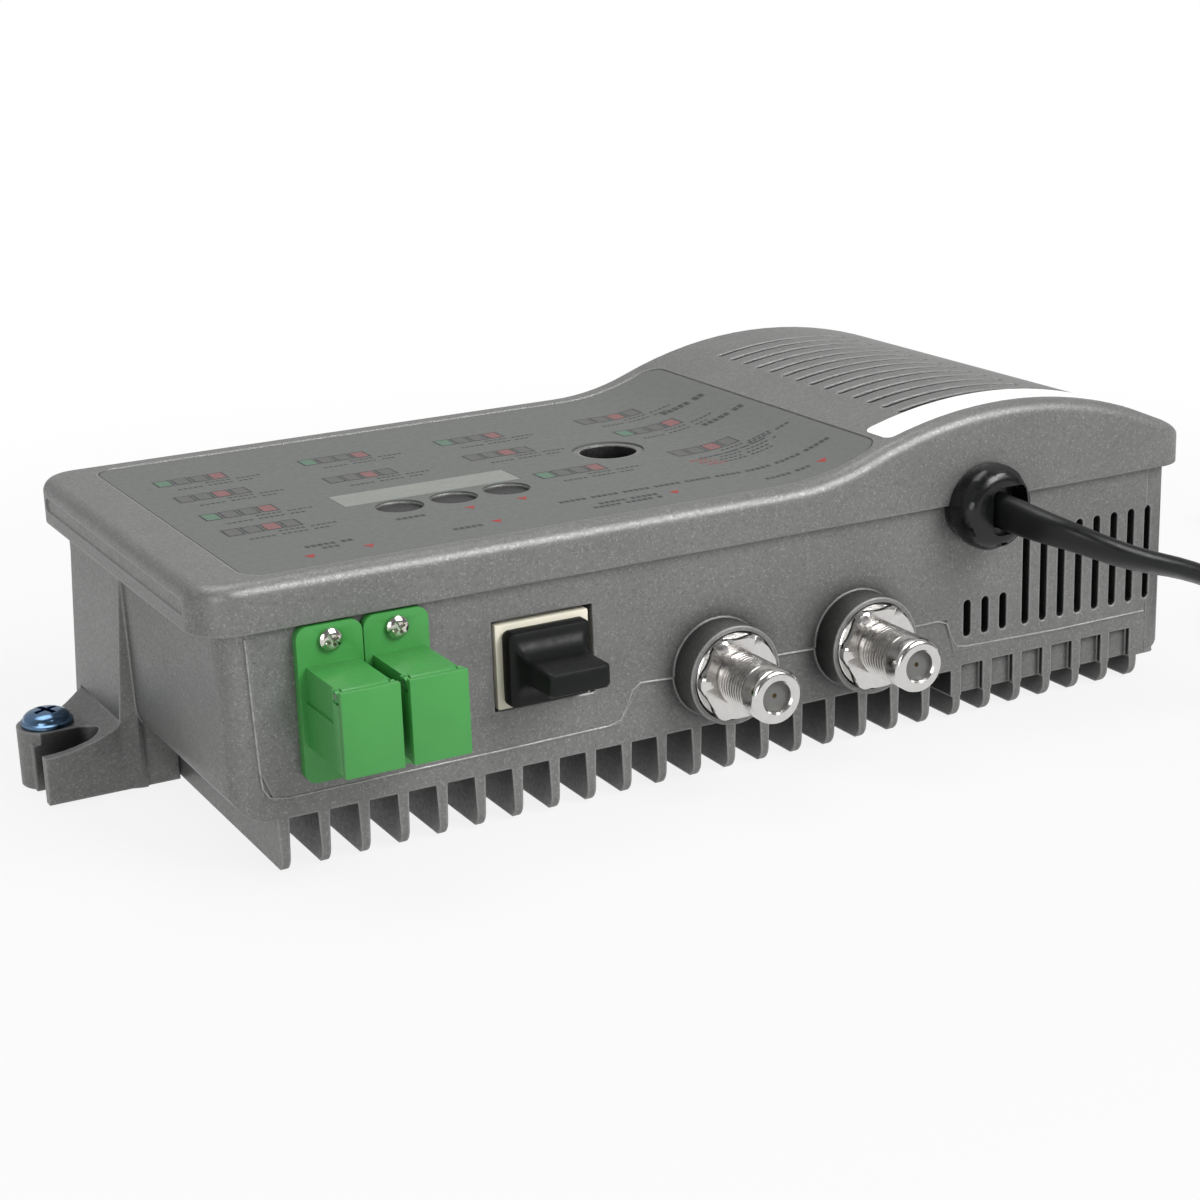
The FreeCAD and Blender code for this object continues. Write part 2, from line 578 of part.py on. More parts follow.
    # Openings in the front wall
    seats = cast.sketch("coax_seats", "XZ_Plane", "coax_boss_reach")
    bores = cast.sketch("coax_bores", "XZ_Plane", "coax_boss_reach")
    for across in ("coax_first", "coax_second"):
        circle(seats, across, "coax_level", "coax_seat")
        circle(bores, across, "coax_level", "coax_thread + 0.3")
    cast.pocket("coax_seats", seats, "coax_seat_depth")
    cast.pocket("coax_bores", bores, "coax_boss_reach + wall + 1")
    ports = cast.sketch("ports", "XZ_Plane", "wall_boss_depth")
    rect(ports, "jack_across - jack_cut_wide / 2", "jack_cut_low", "jack_cut_wide",
         "jack_cut_high - jack_cut_low")
    rect(ports, "adapter_first - adapter_wide / 2 - 0.4", "adapter_level - adapter_tall / 2 - 0.4",
         "adapter_pitch + adapter_wide + 0.8", "adapter_tall + 0.8")
    cast.pocket("ports", ports, "wall_boss_depth + wall + 0.5")
    pilots = cast.sketch("adapter_holes", "XZ_Plane", "wall_boss_depth")
    for index in range(2):
        circle(pilots, "adapter_first + %d * adapter_pitch" % index, "adapter_level + adapter_screw_rise",
               "adapter_screw + 0.1")
    cast.pocket("adapter_holes", pilots, "wall_boss_depth + wall + 0.5")
    mouth = cast.sketch("cord_mouth", "XZ_Plane", "wall_boss_depth")
    circle(mouth, "bushing_across", "bushing_level", "bushing_hole")
    cast.pocket("cord_mouth", mouth, "wall_boss_depth + wall + 0.5")
    for kind in ("small", "tall"):
        vent = cast.sketch(kind + "_vent", "XZ_Plane", "wall_boss_depth")
        outline(vent, upright_slot(SIZES[kind + "_vent_first"], size.vent_bottom,
                                   SIZES[kind + "_vent_top"], size.vent_width))
        slot = cast.pocket(kind + "_vent", vent, "wall_boss_depth + wall + 0.5")
        cast.row(kind + "_vents", slot, kind + "_vent_count", kind + "_vent_pitch")
        doc.recompute()
    keep("base_casting", cast.body)


def top_prism(name, path, start, length):
    """A side outline of the lid, swept along Y."""
    sketch = doc.addObject("Sketcher::SketchObject", name + "_sketch")
    outline(sketch, path)
    sketch.Placement = FreeCAD.Placement(V(0, 0, 0), FreeCAD.Rotation(V(1, 0, 0), 90))
    sketch.setExpression("Placement.Base.y", bind(start))
    solid = doc.addObject("Part::Extrusion", name)
    solid.Base = sketch
    solid.DirMode = "Custom"
    solid.Dir = V(0, 1, 0)
    solid.setExpression("LengthFwd", bind(length))
    solid.Solid = True
    return solid


def plan_prism(name, path, start, length):
    """A plan outline, swept upwards."""
    sketch = doc.addObject("Sketcher::SketchObject", name + "_sketch")
    outline(sketch, path)
    sketch.setExpression("Placement.Base.z", bind(start))
    solid = doc.addObject("Part::Extrusion", name)
    solid.Base = sketch
    solid.DirMode = "Custom"
    solid.Dir = V(0, 0, 1)
    solid.setExpression("LengthFwd", bind(length))
    solid.Solid = True
    return solid


def film_plan(grow=0.0):
    return round_rect(size.film_left - grow, size.film_front - grow, size.film_right + grow,
                      size.film_back + grow, size.film_corner + grow)


def lid_casting():
    cast = Casting("lid_body")
    left, right = size.lid_left, size.lid_right
    side = cast.sketch("side", "XZ_Plane", "-lid_back")
    outline(side, under_top(0, left, right, size.rim_level))
    cast.pad("block", side, "lid_back - lid_front")

    def upright_corner(edge):
        box_of = edge.BoundBox
        return box_of.XLength < 0.01 and box_of.YLength < 0.01 and box_of.ZMin < size.rim_level + 0.01

    def on_top(edge):
        box_of = edge.BoundBox
        return box_of.ZMin > size.rim_level + 1.0 and not (box_of.YLength > 60 and box_of.XLength < 0.01
                                                           and left + 1 < box_of.XMin < right - 1)

    cast.round("corners", upright_corner, "lid_corner")
    cast.round("top_edge", on_top, "lid_edge")

    # Hollow inside, over both bays
    hollow = cast.sketch("hollow", "XZ_Plane", "-wall")
    outline(hollow, under_top(size.lid_wall, size.base_left + size.wall, size.base_right - size.wall,
                              size.rim_level - OVER))
    cast.pocket("hollow", hollow, "base_depth - 2 * wall")

    # Shallow groove along the left side
    groove = cast.sketch("groove", "YZ_Plane", "lid_left")
    r = (size.side_groove_high - size.side_groove_low) / 2
    mid = (size.side_groove_high + size.side_groove_low) / 2
    near, far = size.lid_front + size.lid_corner + r, size.lid_back - size.lid_corner - r
    outline(groove, [(near, mid - r), (far, mid - r), ((far + r, mid), (far, mid + r)),
                     (near, mid + r), ((near - r, mid), (near, mid - r))])
    cast.pocket("groove", groove, "side_groove_depth", True)

    # Screw well, button holes, window and cord mouth
    well = cast.sketch("well", "XY_Plane", "well_floor - well_wall")
    circle(well, "well_across", "well_along", "well_width + 2 * well_wall")
    cast.pad("well", well, "lid_level - lid_wall / 2 - well_floor + well_wall")
    bore = cast.sketch("well_bore", "XY_Plane", "lid_level")
    circle(bore, "well_across", "well_along", "well_width")
    cast.pocket("well_bore", bore, "lid_level - well_floor")
    bore = cast.sketch("well_hole", "XY_Plane", "well_floor")
    circle(bore, "well_across", "well_along", "lid_screw + 0.6")
    cast.pocket("well_hole", bore, "well_wall + 0.5")
    holes = cast.sketch("button_hole", "XY_Plane", "lid_level")
    circle(holes, "button_first", "button_along", "button_hole")
    hole = cast.pocket("button_hole", holes, "lid_wall + 0.5")
    cast.row("button_holes", hole, "3", "button_pitch")
    doc.recompute()
    window = cast.sketch("window", "XY_Plane", "lid_level")
    rect(window, "window_left", "window_front", "window_right - window_left", "window_back - window_front")
    cast.pocket("window", window, "lid_wall + 0.5")
    mouth = cast.sketch("cord_mouth", "XZ_Plane", "-lid_front")
    circle(mouth, "bushing_across", "bushing_level", "bushing_hole")
    cast.pocket("cord_mouth", mouth, "wall - lid_front + 0.5")

    # Row of slots over the power supply
    slots = cast.sketch("vent", "XY_Plane", "hump_crest_level + 1")
    r = size.lid_slot_width / 2
    a, b = size.lid_slot_left + r, size.lid_slot_right - r
    y = size.lid_slot_first
    outline(slots, [(a, y - r), (b, y - r), ((b + r, y), (b, y + r)), (a, y + r), ((a - r, y), (a, y - r))])
    slot = cast.pocket("vent", slots, "10.0")
    cast.row("vents", slot, "lid_slot_count", "lid_slot_pitch", "V_Axis")
    doc.recompute()

    # Sunk field that takes the overlay film
    depth = size.film_sunk + size.film_thick + size.skin_gap
    plan = plan_prism("film_recess_plan", film_plan(0.3), "lid_level - 2", "hump_crest_level - lid_level + 3")
    side = top_prism("film_recess_side", band(-OVER, OVER + depth, size.film_left - 2, size.film_right + 2),
                     "film_front - 2", "film_back - film_front + 4")
    sunk = common("film_recess", plan, side)
    keep("lid_casting", cut("lid_casting_cut", cast.body, [sunk]))


def film_and_label():
    plan = plan_prism("overlay_plan", film_plan(), "lid_level - 2", "hump_crest_level - lid_level + 3")
    path = band(size.film_sunk, size.film_thick, size.film_left - 1, size.film_right + 1)
    side = top_prism("overlay_side", path, "film_front - 1", "film_back - film_front + 2")
    skin = common("overlay_skin", plan, side)
    tools = [rod("overlay_button_%d" % i, "button_first + %d * button_pitch" % i, "button_along",
                 "lid_level - 2", "button_hole", "4") for i in range(3)]
    tools.append(rod("overlay_ring", "well_across", "well_along", "lid_level - 2", "well_ring", "4"))
    tools.append(box("overlay_window", "window_left", "window_front", "lid_level - 2",
                     "window_right - window_left", "window_back - window_front", "4"))
    keep("overlay_film", cut("overlay_film_cut", skin, tools))
    shape = round_rect(size.label_left, size.label_front, size.label_right, size.label_back, 1.5)
    plan = plan_prism("label_plan", shape, "lid_level", "hump_crest_level - lid_level + 1")
    rise = size.label_thick + size.skin_gap
    side = top_prism("label_side", band(-rise, size.label_thick, size.label_left - 1, size.label_right + 1),
                     "label_front - 1", "label_back - label_front + 2")
    keep("bare_label", common("label_skin", plan, side))
    pane = box("display_window_block", "window_left + 0.1", "window_front + 0.1", "lid_level - lid_wall",
               "window_right - window_left - 0.2", "window_back - window_front - 0.2", "lid_wall - film_sunk")
    keep("display_window", pane)


# Where the boards are screwed down: expressions for X and Y
BOARD_POSTS = [(x, y) for x in ("board_left + board_post_inset", "board_post_middle",
                                "board_right - board_post_inset")
               for y in ("board_front + board_post_front", "board_back - board_post_back")]
SUPPLY_POSTS = [(x, y) for x in ("supply_left + supply_post_inset", "supply_right - supply_post_inset")
                for y in ("supply_front + supply_post_inset", "supply_back - supply_post_inset")]
CONTROL_POSTS = [(x, y) for x in ("control_left + pillar_left_inset", "control_right - pillar_inset")
                 for y in ("control_front + pillar_inset", "control_back - pillar_inset")]


def pan_screws(name, spots, seat):
    """Pan screws standing in a board, one at each spot."""
    parts = []
    for i, (x, y) in enumerate(spots):
        top = rod("%s_head_%d" % (name, i), x, y, seat, "pan_head", "pan_head_thick")
        stem = rod("%s_stem_%d" % (name, i), x, y, "%s - board_thick - screw_grip" % seat, "post_screw - 0.1",
                   "board_thick + screw_grip")
        parts.append(fuse("%s_%d" % (name, i), [top, stem]))
    return parts


def drilled_board(name, edges, spots, level, extra=()):
    """Board between the named edges, with a screw hole at each spot."""
    wide, deep = "%s_right - %s_left" % (edges, edges), "%s_back - %s_front" % (edges, edges)
    plate = box(name + "_plate", edges + "_left", edges + "_front", level, wide, deep, "board_thick")
    holes = [rod("%s_hole_%d" % (name, i), x, y, level + " - 1", "post_screw + 0.6", "board_thick + 2")
             for i, (x, y) in enumerate(spots)]
    keep(name, cut(name + "_cut", plate, holes + list(extra)))


def boards():
    post = rod("main_board_post_hole", "well_across", "well_along", "board_level - 1", "lid_post + 1",
               "board_thick + 2")
    drilled_board("main_board", "board", BOARD_POSTS, "board_level", [post])
    drilled_board("supply_board", "supply", SUPPLY_POSTS, "supply_level")
    screws = pan_screws("main_screw", BOARD_POSTS, "board_level + board_thick")
    screws += pan_screws("supply_screw", SUPPLY_POSTS, "supply_level + board_thick")
    keep("board_screws", group("board_screw_set", screws))
    keep("control_board", box("control_board_plate", "control_left", "control_front", "control_level",
                              "control_right - control_left", "control_back - control_front", "board_thick"))
    seat, rise = "board_level + board_thick", "control_level - board_level - board_thick"
    pillars = [rod("pillar_%d" % i, x, y, seat, "pillar", rise) for i, (x, y) in enumerate(CONTROL_POSTS)]
    keep("control_pillars", group("control_pillar_set", pillars))
    pin_pitch, pin_wide = 2.54, "0.64"
    pins = [box("header_pin_%d" % i, "control_left + 12 + %g" % (pin_pitch * i), "control_back - 2", seat,
                pin_wide, pin_wide, rise) for i in range(8)]
    keep("header_pins", group("header_pin_set", pins))


def buttons_and_display():
    top = "control_level + board_thick"
    flange_low = "lid_level - lid_wall - button_gap - button_flange_thick"
    switch_wide, switch_tall, plunger_wide, press = 6.0, 3.5, 3.4, 1.2
    blocks = []
    for i in range(3):
        across = "button_first + %d * button_pitch" % i
        block = box("switch_block_%d" % i, "%s - %g" % (across, switch_wide / 2),
                    "button_along - %g" % (switch_wide / 2), top, str(switch_wide), str(switch_wide),
                    str(switch_tall))
        hole = rod("switch_hole_%d" % i, across, "button_along", "%s + %g" % (top, switch_tall - press),
                   str(plunger_wide + 0.4), str(press + 1))
        blocks.append(cut("switch_%d" % i, block, [hole]))
        seat = "%s + %g + plunger_rise" % (top, switch_tall)
        plunger = rod("plunger_%d" % i, across, "button_along", "%s + %g" % (top, switch_tall - 0.5),
                      str(plunger_wide), "plunger_rise + 0.5")
        stem = rod("button_stem_%d" % i, across, "button_along", seat, "button_stem",
                   "%s - (%s)" % (flange_low, seat))
        flange = rod("button_flange_%d" % i, across, "button_along", flange_low, "button_flange",
                     "button_flange_thick")
        cap = rod("button_cap_%d" % i, across, "button_along", "lid_level - lid_wall - button_gap",
                  "button_hole - 2 * button_gap", "lid_wall + button_gap - button_sunk")
        button = fuse("button_fuse_%d" % i, [stem, flange, cap])
        keep("button_%d" % (i + 1), group("button_set_%d" % i, [button, plunger]))
    keep("tact_switches", group("switch_set", blocks))
    keep("display_module", box("display_block", "window_left + 0.4", "window_front + 0.3", top,
                               "window_right - window_left - 0.8", "window_back - window_front + 0.7",
                               "lid_level - lid_wall - (%s)" % top))


def standing_box(name, sizes, seat):
    left, front, length, width, height = (str(value) for value in sizes)
    return box(name, left, front, seat, length, width, height)


def standing_can(name, sizes, seat):
    across, along, diameter, height = (str(value) for value in sizes)
    return rod(name, across, along, seat, diameter, height)


def optical_adapter(index, side):
    across = "adapter_first + %d * adapter_pitch" % index
    name = "adapter_%s" % side
    hinge_along, hinge_level = "hinge_inset - adapter_reach", "adapter_level + adapter_tall / 2 - hinge_inset"
    shell = box(name + "_shell", "%s - adapter_wide / 2" % across, "-adapter_reach",
                "adapter_level - adapter_tall / 2", "adapter_wide", "adapter_reach + adapter_tail",
                "adapter_tall")
    x = size.adapter_first + index * size.adapter_pitch
    w, t = size.adapter_flange_wide / 2, size.adapter_flange_tall / 2
    sketch = doc.addObject("Sketcher::SketchObject", name + "_flange_sketch")
    outline(sketch, round_rect(x - w, size.adapter_level - t, x + w, size.adapter_level + t, 2.0))
    sketch.Placement = FreeCAD.Placement(V(0, -size.wall_boss_depth, 0), FreeCAD.Rotation(V(1, 0, 0), 90))
    flange = doc.addObject("Part::Extrusion", name + "_flange")
    flange.Base = sketch
    flange.DirMode = "Custom"
    flange.Dir = V(0, -1, 0)
    flange.setExpression("LengthFwd", bind("adapter_flange_thick"))
    flange.Solid = True
    whole = fuse(name + "_whole", [shell, flange])

    # Sockets on both sides of a web, with room for the sleeve, screws and hinge
    left, low = "%s - socket_wide / 2" % across, "adapter_level - socket_tall / 2"
    tools = [
        box(name + "_front_socket", left, "-adapter_reach - 1", low, "socket_wide",
            "adapter_reach + 1 + socket_web_front", "socket_tall"),
        box(name + "_rear_socket", left, "socket_web_back", low, "socket_wide",
            "adapter_tail + 1 - socket_web_back", "socket_tall"),
        rod(name + "_sleeve_bore", across, "socket_web_front - 1", "adapter_level", "sleeve_wide",
            "socket_web_back - socket_web_front + 2", "y"),
        rod(name + "_pin_bore", "%s - adapter_wide" % across, hinge_along, hinge_level, "hinge_pin",
            "2 * adapter_wide", "x"),
        box(name + "_key_slot", "%s - 1.2" % across, "-adapter_reach - 1",
            "adapter_level + socket_tall / 2 - 0.5", "2.4", "8", "1.2"),
        rod(name + "_screw_bore", across, "-4", "adapter_level + adapter_screw_rise", "adapter_screw + 0.2",
            "4", "y"),
    ]
    ears = (("a", "%s - adapter_wide / 2 - 1" % across),
            ("b", "%s + adapter_wide / 2 - ear_thick - 0.05" % across))
    for label, edge in ears:
        tools.append(box("%s_ear_room_%s" % (name, label), edge, "-adapter_reach - 1",
                         "adapter_level + adapter_tall / 2 - 2 * hinge_inset - 0.3", "ear_thick + 1.05",
                         "2 * hinge_inset + 1.3", "2 * hinge_inset + 1.3"))

    # The front top edge is round about the hinge so that the shutter clears it
    corner = box(name + "_corner", "%s - adapter_wide" % across, "-adapter_reach - 1", hinge_level,
                 "2 * adapter_wide", "hinge_inset + 1", "hinge_inset + 1")
    barrel = rod(name + "_barrel", "%s - adapter_wide - 1" % across, hinge_along, hinge_level,
                 "2 * hinge_inset", "2 * adapter_wide + 2", "x")
    tools.append(cut(name + "_corner_round", corner, [barrel]))
    keep("optical_adapter_" + side, cut(name + "_cut", whole, tools))
    pin = rod(name + "_pin", "%s - shutter_wide / 2 + 0.1" % across, hinge_along, hinge_level, "hinge_pin",
              "shutter_wide - 0.2", "x")

    # Shutter: front plate with two ears that turn on the pin
    plate = box(name + "_plate", "%s - shutter_wide / 2" % across,
                "-adapter_reach - shutter_gap - shutter_thick", "adapter_level - shutter_tall / 2",
                "shutter_wide", "shutter_thick", "shutter_tall")
    parts = [plate]
    ears = (("a", "%s - shutter_wide / 2" % across), ("b", "%s + shutter_wide / 2 - ear_thick" % across))
    for label, edge in ears:
        parts.append(rod("%s_ear_%s" % (name, label), edge, hinge_along, hinge_level, "1.9 * hinge_inset",
                         "ear_thick", "x"))
        parts.append(box("%s_arm_%s" % (name, label), edge, "-adapter_reach - shutter_gap - 0.1",
                         "%s - 0.7 * hinge_inset" % hinge_level, "ear_thick",
                         "hinge_inset + shutter_gap + 0.1", "1.4 * hinge_inset"))
    bore = rod(name + "_ear_bore", "%s - shutter_wide" % across, hinge_along, hinge_level, "hinge_pin + 0.1",
               "2 * shutter_wide", "x")
    keep("shutter_" + side, cut(name + "_shutter_cut", fuse(name + "_shutter", parts), [bore]))

    # Alignment sleeve through the web, and the plug of the inner fibre
    sleeve = rod(name + "_sleeve_body", across, "socket_web_front - 6.5", "adapter_level", "sleeve_wide",
                 "12", "y")
    hole = rod(name + "_sleeve_hole", across, "socket_web_front - 7", "adapter_level", "2.5", "14", "y")
    sleeve = cut(name + "_sleeve", sleeve, [hole])
    body = box(name + "_inner_plug_body", "%s - 3.6" % across, "socket_web_back + 3", "adapter_level - 4.4",
               "7.2", "17", "8.8")
    nose = rod(name + "_inner_ferrule", across, "socket_web_back - 1", "adapter_level", "2.5", "7", "y")
    room = rod(name + "_inner_room", across, "socket_web_back + 2", "adapter_level", "sleeve_wide + 0.4",
               "3", "y")
    boot = cone(name + "_inner_boot", across, "socket_web_back + 20", "adapter_level", "5.2", "2.6", "9", "y")
    body = cut(name + "_inner_bored", body, [room])
    return pin, sleeve, fuse(name + "_inner_plug", [body, nose, boot])


def adapters():
    pairs = [optical_adapter(i, side) for i, side in enumerate(("left", "right"))]
    for place, name in enumerate(("shutter_pins", "alignment_sleeves", "inner_fibre_plugs")):
        keep(name, group(name + "_set", [pair[place] for pair in pairs]))
    seat = "-wall_boss_depth - adapter_flange_thick"
    screws = []
    for i in range(2):
        tag = "adapter_screw_%d" % i
        x, z = "adapter_first + %d * adapter_pitch" % i, "adapter_level + adapter_screw_rise"
        head = cone(tag + "_head", x, "%s - 1.2" % seat, z, "2.4", "3.8", "1.2", "y")
        stem = rod(tag + "_stem", x, "%s - 0.1" % seat, z, "adapter_screw", "6", "y")
        screws.append(fuse(tag, [head, stem]))
    keep("adapter_screws", group("adapter_screw_set", screws))


def network_jack():
    block = box("jack_block", "jack_across - jack_wide / 2", "jack_front", "board_level + board_thick",
                "jack_wide", "jack_depth", "jack_top - board_level - board_thick")
    tall = "jack_socket_high - jack_socket_low"
    socket = box("jack_socket", "jack_across - jack_socket_wide / 2", "jack_front - 1", "jack_socket_low",
                 "jack_socket_wide", "jack_depth - 1.5", tall)
    latch = box("jack_latch", "jack_across - 3", "jack_front - 1", "jack_socket_low - 1.6", "6", "9", "2")
    toe = box("jack_toe", "jack_across - jack_wide", "jack_front - 1", "board_level", "2 * jack_wide",
              "board_front - jack_front + 1", "jack_cut_low - board_level + 0.1")
    keep("network_jack", cut("jack_cut", block, [socket, latch, toe]))
    pitch = 1.27
    contacts = [box("jack_contact_%d" % i, "jack_across - 4.6 + %g" % (pitch * i), "jack_front + 7.5",
                    "jack_socket_high - 1.2", "0.4", "5", "1.2") for i in range(8)]
    keep("jack_contacts", group("jack_contact_set", contacts))

    # Dust plug: dished flange, hollow nose and pull tab
    back = "jack_front - plug_gap"
    flange = box("dust_flange", "jack_across - plug_flange_wide / 2", "%s - plug_flange_thick" % back,
                 "plug_flange_low", "plug_flange_wide", "plug_flange_thick",
                 "plug_flange_high - plug_flange_low")
    nose = box("dust_nose", "jack_across - jack_socket_wide / 2 + plug_gap", "%s - 0.1" % back,
               "jack_socket_low + plug_gap", "jack_socket_wide - 2 * plug_gap", "plug_nose + 0.1",
               "%s - 2 * plug_gap" % tall)
    hollow = box("dust_hollow", "jack_across - jack_socket_wide / 2 + plug_gap + 1", back,
                 "jack_socket_low + plug_gap + 1", "jack_socket_wide - 2 * plug_gap - 2", "plug_nose + 1",
                 "%s - 2 * plug_gap - 2" % tall)
    tab = box("dust_tab", "jack_across - tab_wide / 2", "-tab_reach", "tab_level - tab_tall / 2", "tab_wide",
              "tab_reach - 1.4", "tab_tall")
    dish = rod("dust_dish", "jack_across - plug_flange_wide / 2 + 2.2", "%s - plug_flange_thick - 1.2" % back,
               "plug_flange_high - 4.2", "5.2", "plug_flange_wide - 2.8", "x")
    body = cut("dust_flange_dished", flange, [dish])
    keep("dust_plug", cut("dust_plug_cut", fuse("dust_plug_body", [body, nose, tab]), [hollow]))


def coax_connector(side, across):
    name, level = "coax_" + side, "coax_level"
    face, seat = "-coax_boss_reach", "coax_seat_depth - coax_boss_reach"
    full = "coax_reach + coax_tail"
    parts = [
        rod(name + "_collar", across, face, level, "coax_collar", "coax_seat_depth", "y"),
        hexagon(name + "_hex", across, "%s - coax_hex_thick" % face, level, "coax_hex",
                "coax_hex_thick + 0.1"),
        rod(name + "_neck", across, "%s - coax_hex_thick - coax_neck_length" % face, level, "coax_neck",
            "coax_neck_length + 0.1", "y"),
        rod(name + "_barrel", across, "-coax_reach", level, "coax_thread",
            "coax_reach - coax_boss_reach - coax_hex_thick - coax_neck_length + 0.05", "y"),
        rod(name + "_shank", across, "%s - 0.1" % seat, level, "coax_thread",
            "coax_tail + 0.1 - (%s)" % seat, "y"),
    ]
    body = fuse(name + "_whole", parts)
    bore = rod(name + "_bore", across, "-coax_reach - 1", level, "coax_mouth", full + " + 2", "y")
    keep("coax_connector_" + side, cut(name + "_cut", body, [bore]))
    insulator = rod(name + "_filler", across, "1.2 - coax_reach", level, "coax_mouth", full + " - 1.2", "y")
    hole = rod(name + "_filler_bore", across, "-coax_reach", level, "coax_pin", full + " + 2", "y")
    insulator = cut(name + "_insulator", insulator, [hole])
    pin = rod(name + "_pin", across, "1.8 - coax_reach", level, "coax_pin", full + " + 3", "y")
    hexed = hexagon(name + "_nut_hex", across, "wall", level, "coax_hex", "coax_nut_thick")
    bore = rod(name + "_nut_bore", across, "wall - 1", level, "coax_thread", "coax_nut_thick + 2", "y")
    return insulator, pin, cut(name + "_nut", hexed, [bore])


def coax_connectors():
    sets = [coax_connector("left", "coax_first"), coax_connector("right", "coax_second")]
    for place, name in enumerate(("coax_insulators", "coax_centre_pins", "coax_lock_nuts")):
        keep(name, group(name + "_set", [s[place] for s in sets]))


def fasteners():
    head = cone("lid_screw_head_part", "well_across", "well_along", "well_floor", "lid_screw_head",
                "lid_screw_head - 2", "2.5")
    stem = rod("lid_screw_stem", "well_across", "well_along", "well_floor - 11.5", "lid_screw", "12")
    keep("lid_screw", fuse("lid_screw_fuse", [head, stem]))
    x, y = "base_left - lug_reach", "lug_centre"
    head = cone("ground_head", x, y, "lug_level + 1", "8.2", "6.4", "1.6")
    flange = rod("ground_flange", x, y, "lug_level", "9.2", "1")
    stem = rod("ground_stem", x, y, "1.5", "4", "lug_level - 1.4")
    keep("ground_screw", fuse("ground_screw_fuse", [head, flange, stem]))


def bushing():
    x, z = "bushing_across", "bushing_level"
    head = rod("bushing_head_round", x, "bushing_face", z, "bushing_head", "lid_front - bushing_face", "y")
    side = box("bushing_head_sides", "%s - bushing_flat / 2" % x, "bushing_face - 1", "%s - bushing_head" % z,
               "bushing_flat", "lid_front - bushing_face + 2", "2 * bushing_head")
    head = common("bushing_head_part", head, side)
    shank = rod("bushing_shank_part", x, "lid_front - 0.1", z, "bushing_shank",
                "bushing_tail - lid_front + 0.1", "y")
    whole = fuse("bushing_whole", [head, shank])
    notch = box("bushing_notch", "%s - 2.8" % x, "bushing_face - 1", "%s - 3.6" % z, "5.6", "2.4", "7.2")
    keep("cord_bushing", cut("bushing_cut", whole, [notch]))


def cord_and_plug():
    """Free cord from the bushing to its coil, and from the coil to the plug."""
    runs = [tube(CORD_ROUTE, size.cord_width / 2, "power cord"),
            tube(LEAD_ROUTE, size.cord_width / 2, "plug lead")]
    keep("power_cord", feature("power_cord_tubes", Part.makeCompound(runs)))
    coil = doc.addObject("Part::Torus", "coil_ring")
    coil.setExpression("Radius1", bind("coil_radius"))
    coil.setExpression("Radius2", bind("coil_thick / 2"))
    put(coil, "coil_across", "coil_along", "coil_thick / 2")
    keep("cord_coil", coil)
    middle, level = size.plug_across, size.plug_face_tall / 2
    ends = []
    for name, along, wide, tall in (
            ("neck", "plug_along", size.plug_neck_wide / 2, size.plug_neck_tall / 2),
            ("face", "plug_along + plug_length", size.plug_face_wide / 2, size.plug_face_tall / 2)):
        end = doc.addObject("Sketcher::SketchObject", "plug_" + name + "_sketch")
        outline(end, round_rect(middle - wide, level - tall, middle + wide, level + tall, 3.0))
        end.Placement = FreeCAD.Placement(V(), FreeCAD.Rotation(V(1, 0, 0), 90))
        end.setExpression("Placement.Base.y", bind(along))
        ends.append(end)
    loft = doc.addObject("Part::Loft", "mains_plug_loft")
    loft.Sections = ends
    loft.Solid = True
    loft.Ruled = True
    keep("mains_plug", loft)
    pins = [rod("plug_pin_%s" % label, "plug_across %s plug_pin_pitch / 2" % sign,
                "plug_along + plug_length", "plug_face_tall / 2", "plug_pin", "plug_pin_length", "y")
            for label, sign in (("a", "-"), ("b", "+"))]
    keep("plug_pins", group("plug_pin_set", pins))


def receiver_parts():
    """Optical and radio parts on the main board."""
    top = "board_level + board_thick"
    body = rod("photodiode_can", "photodiode_across", "photodiode_front", "%s + photodiode_rise" % top,
               "photodiode_width", "photodiode_length", "y")
    mount = standing_box("photodiode_mount", PHOTODIODE_MOUNT, top)
    keep("photodiode_module", fuse("photodiode_fuse", [body, mount]))
    ring = doc.addObject("Part::Torus", "fibre_ring")
    ring.setExpression("Radius1", bind("ring_radius"))
    ring.setExpression("Radius2", bind("ring_thick / 2"))
    keep("fibre_coil", put(ring, "ring_across", "ring_along", "%s + ring_thick / 2" % top))
    keep("wavelength_filter", rod("filter_tube", "filter_across", "filter_front",
                                  "%s + filter_width / 2" % top, "filter_width", "filter_length", "y"))
    can = standing_box("shield_outer", SHIELD, top)
    left, front, length, width, height = SHIELD
    skin = size.shield_skin
    hollow = standing_box("shield_inner", (left + skin, front + skin, length - 2 * skin, width - 2 * skin,
                                           height + OVER - skin), "%s - %g" % (top, OVER))
    keep("shield_can", cut("shield_cut", can, [hollow]))
    keep("amplifier_chips", group("chip_set", [standing_box("chip_%d" % i, chip, top)
                                               for i, chip in enumerate(CHIPS)]))
    keep("board_capacitors", group("board_capacitor_set", [standing_can("board_capacitor_%d" % i, can, top)
                                                           for i, can in enumerate(BOARD_CAPACITORS)]))
    keep("filter_coils", group("filter_coil_set", [standing_can("filter_coil_%d" % i, can, top)
                                                   for i, can in enumerate(FILTER_COILS)]))
    fibres = Part.makeCompound([tube(route, FIBRE_RADIUS) for route in FIBRE_ROUTES])
    keep("fibre_pigtails", feature("fibre_pigtail_tubes", fibres))


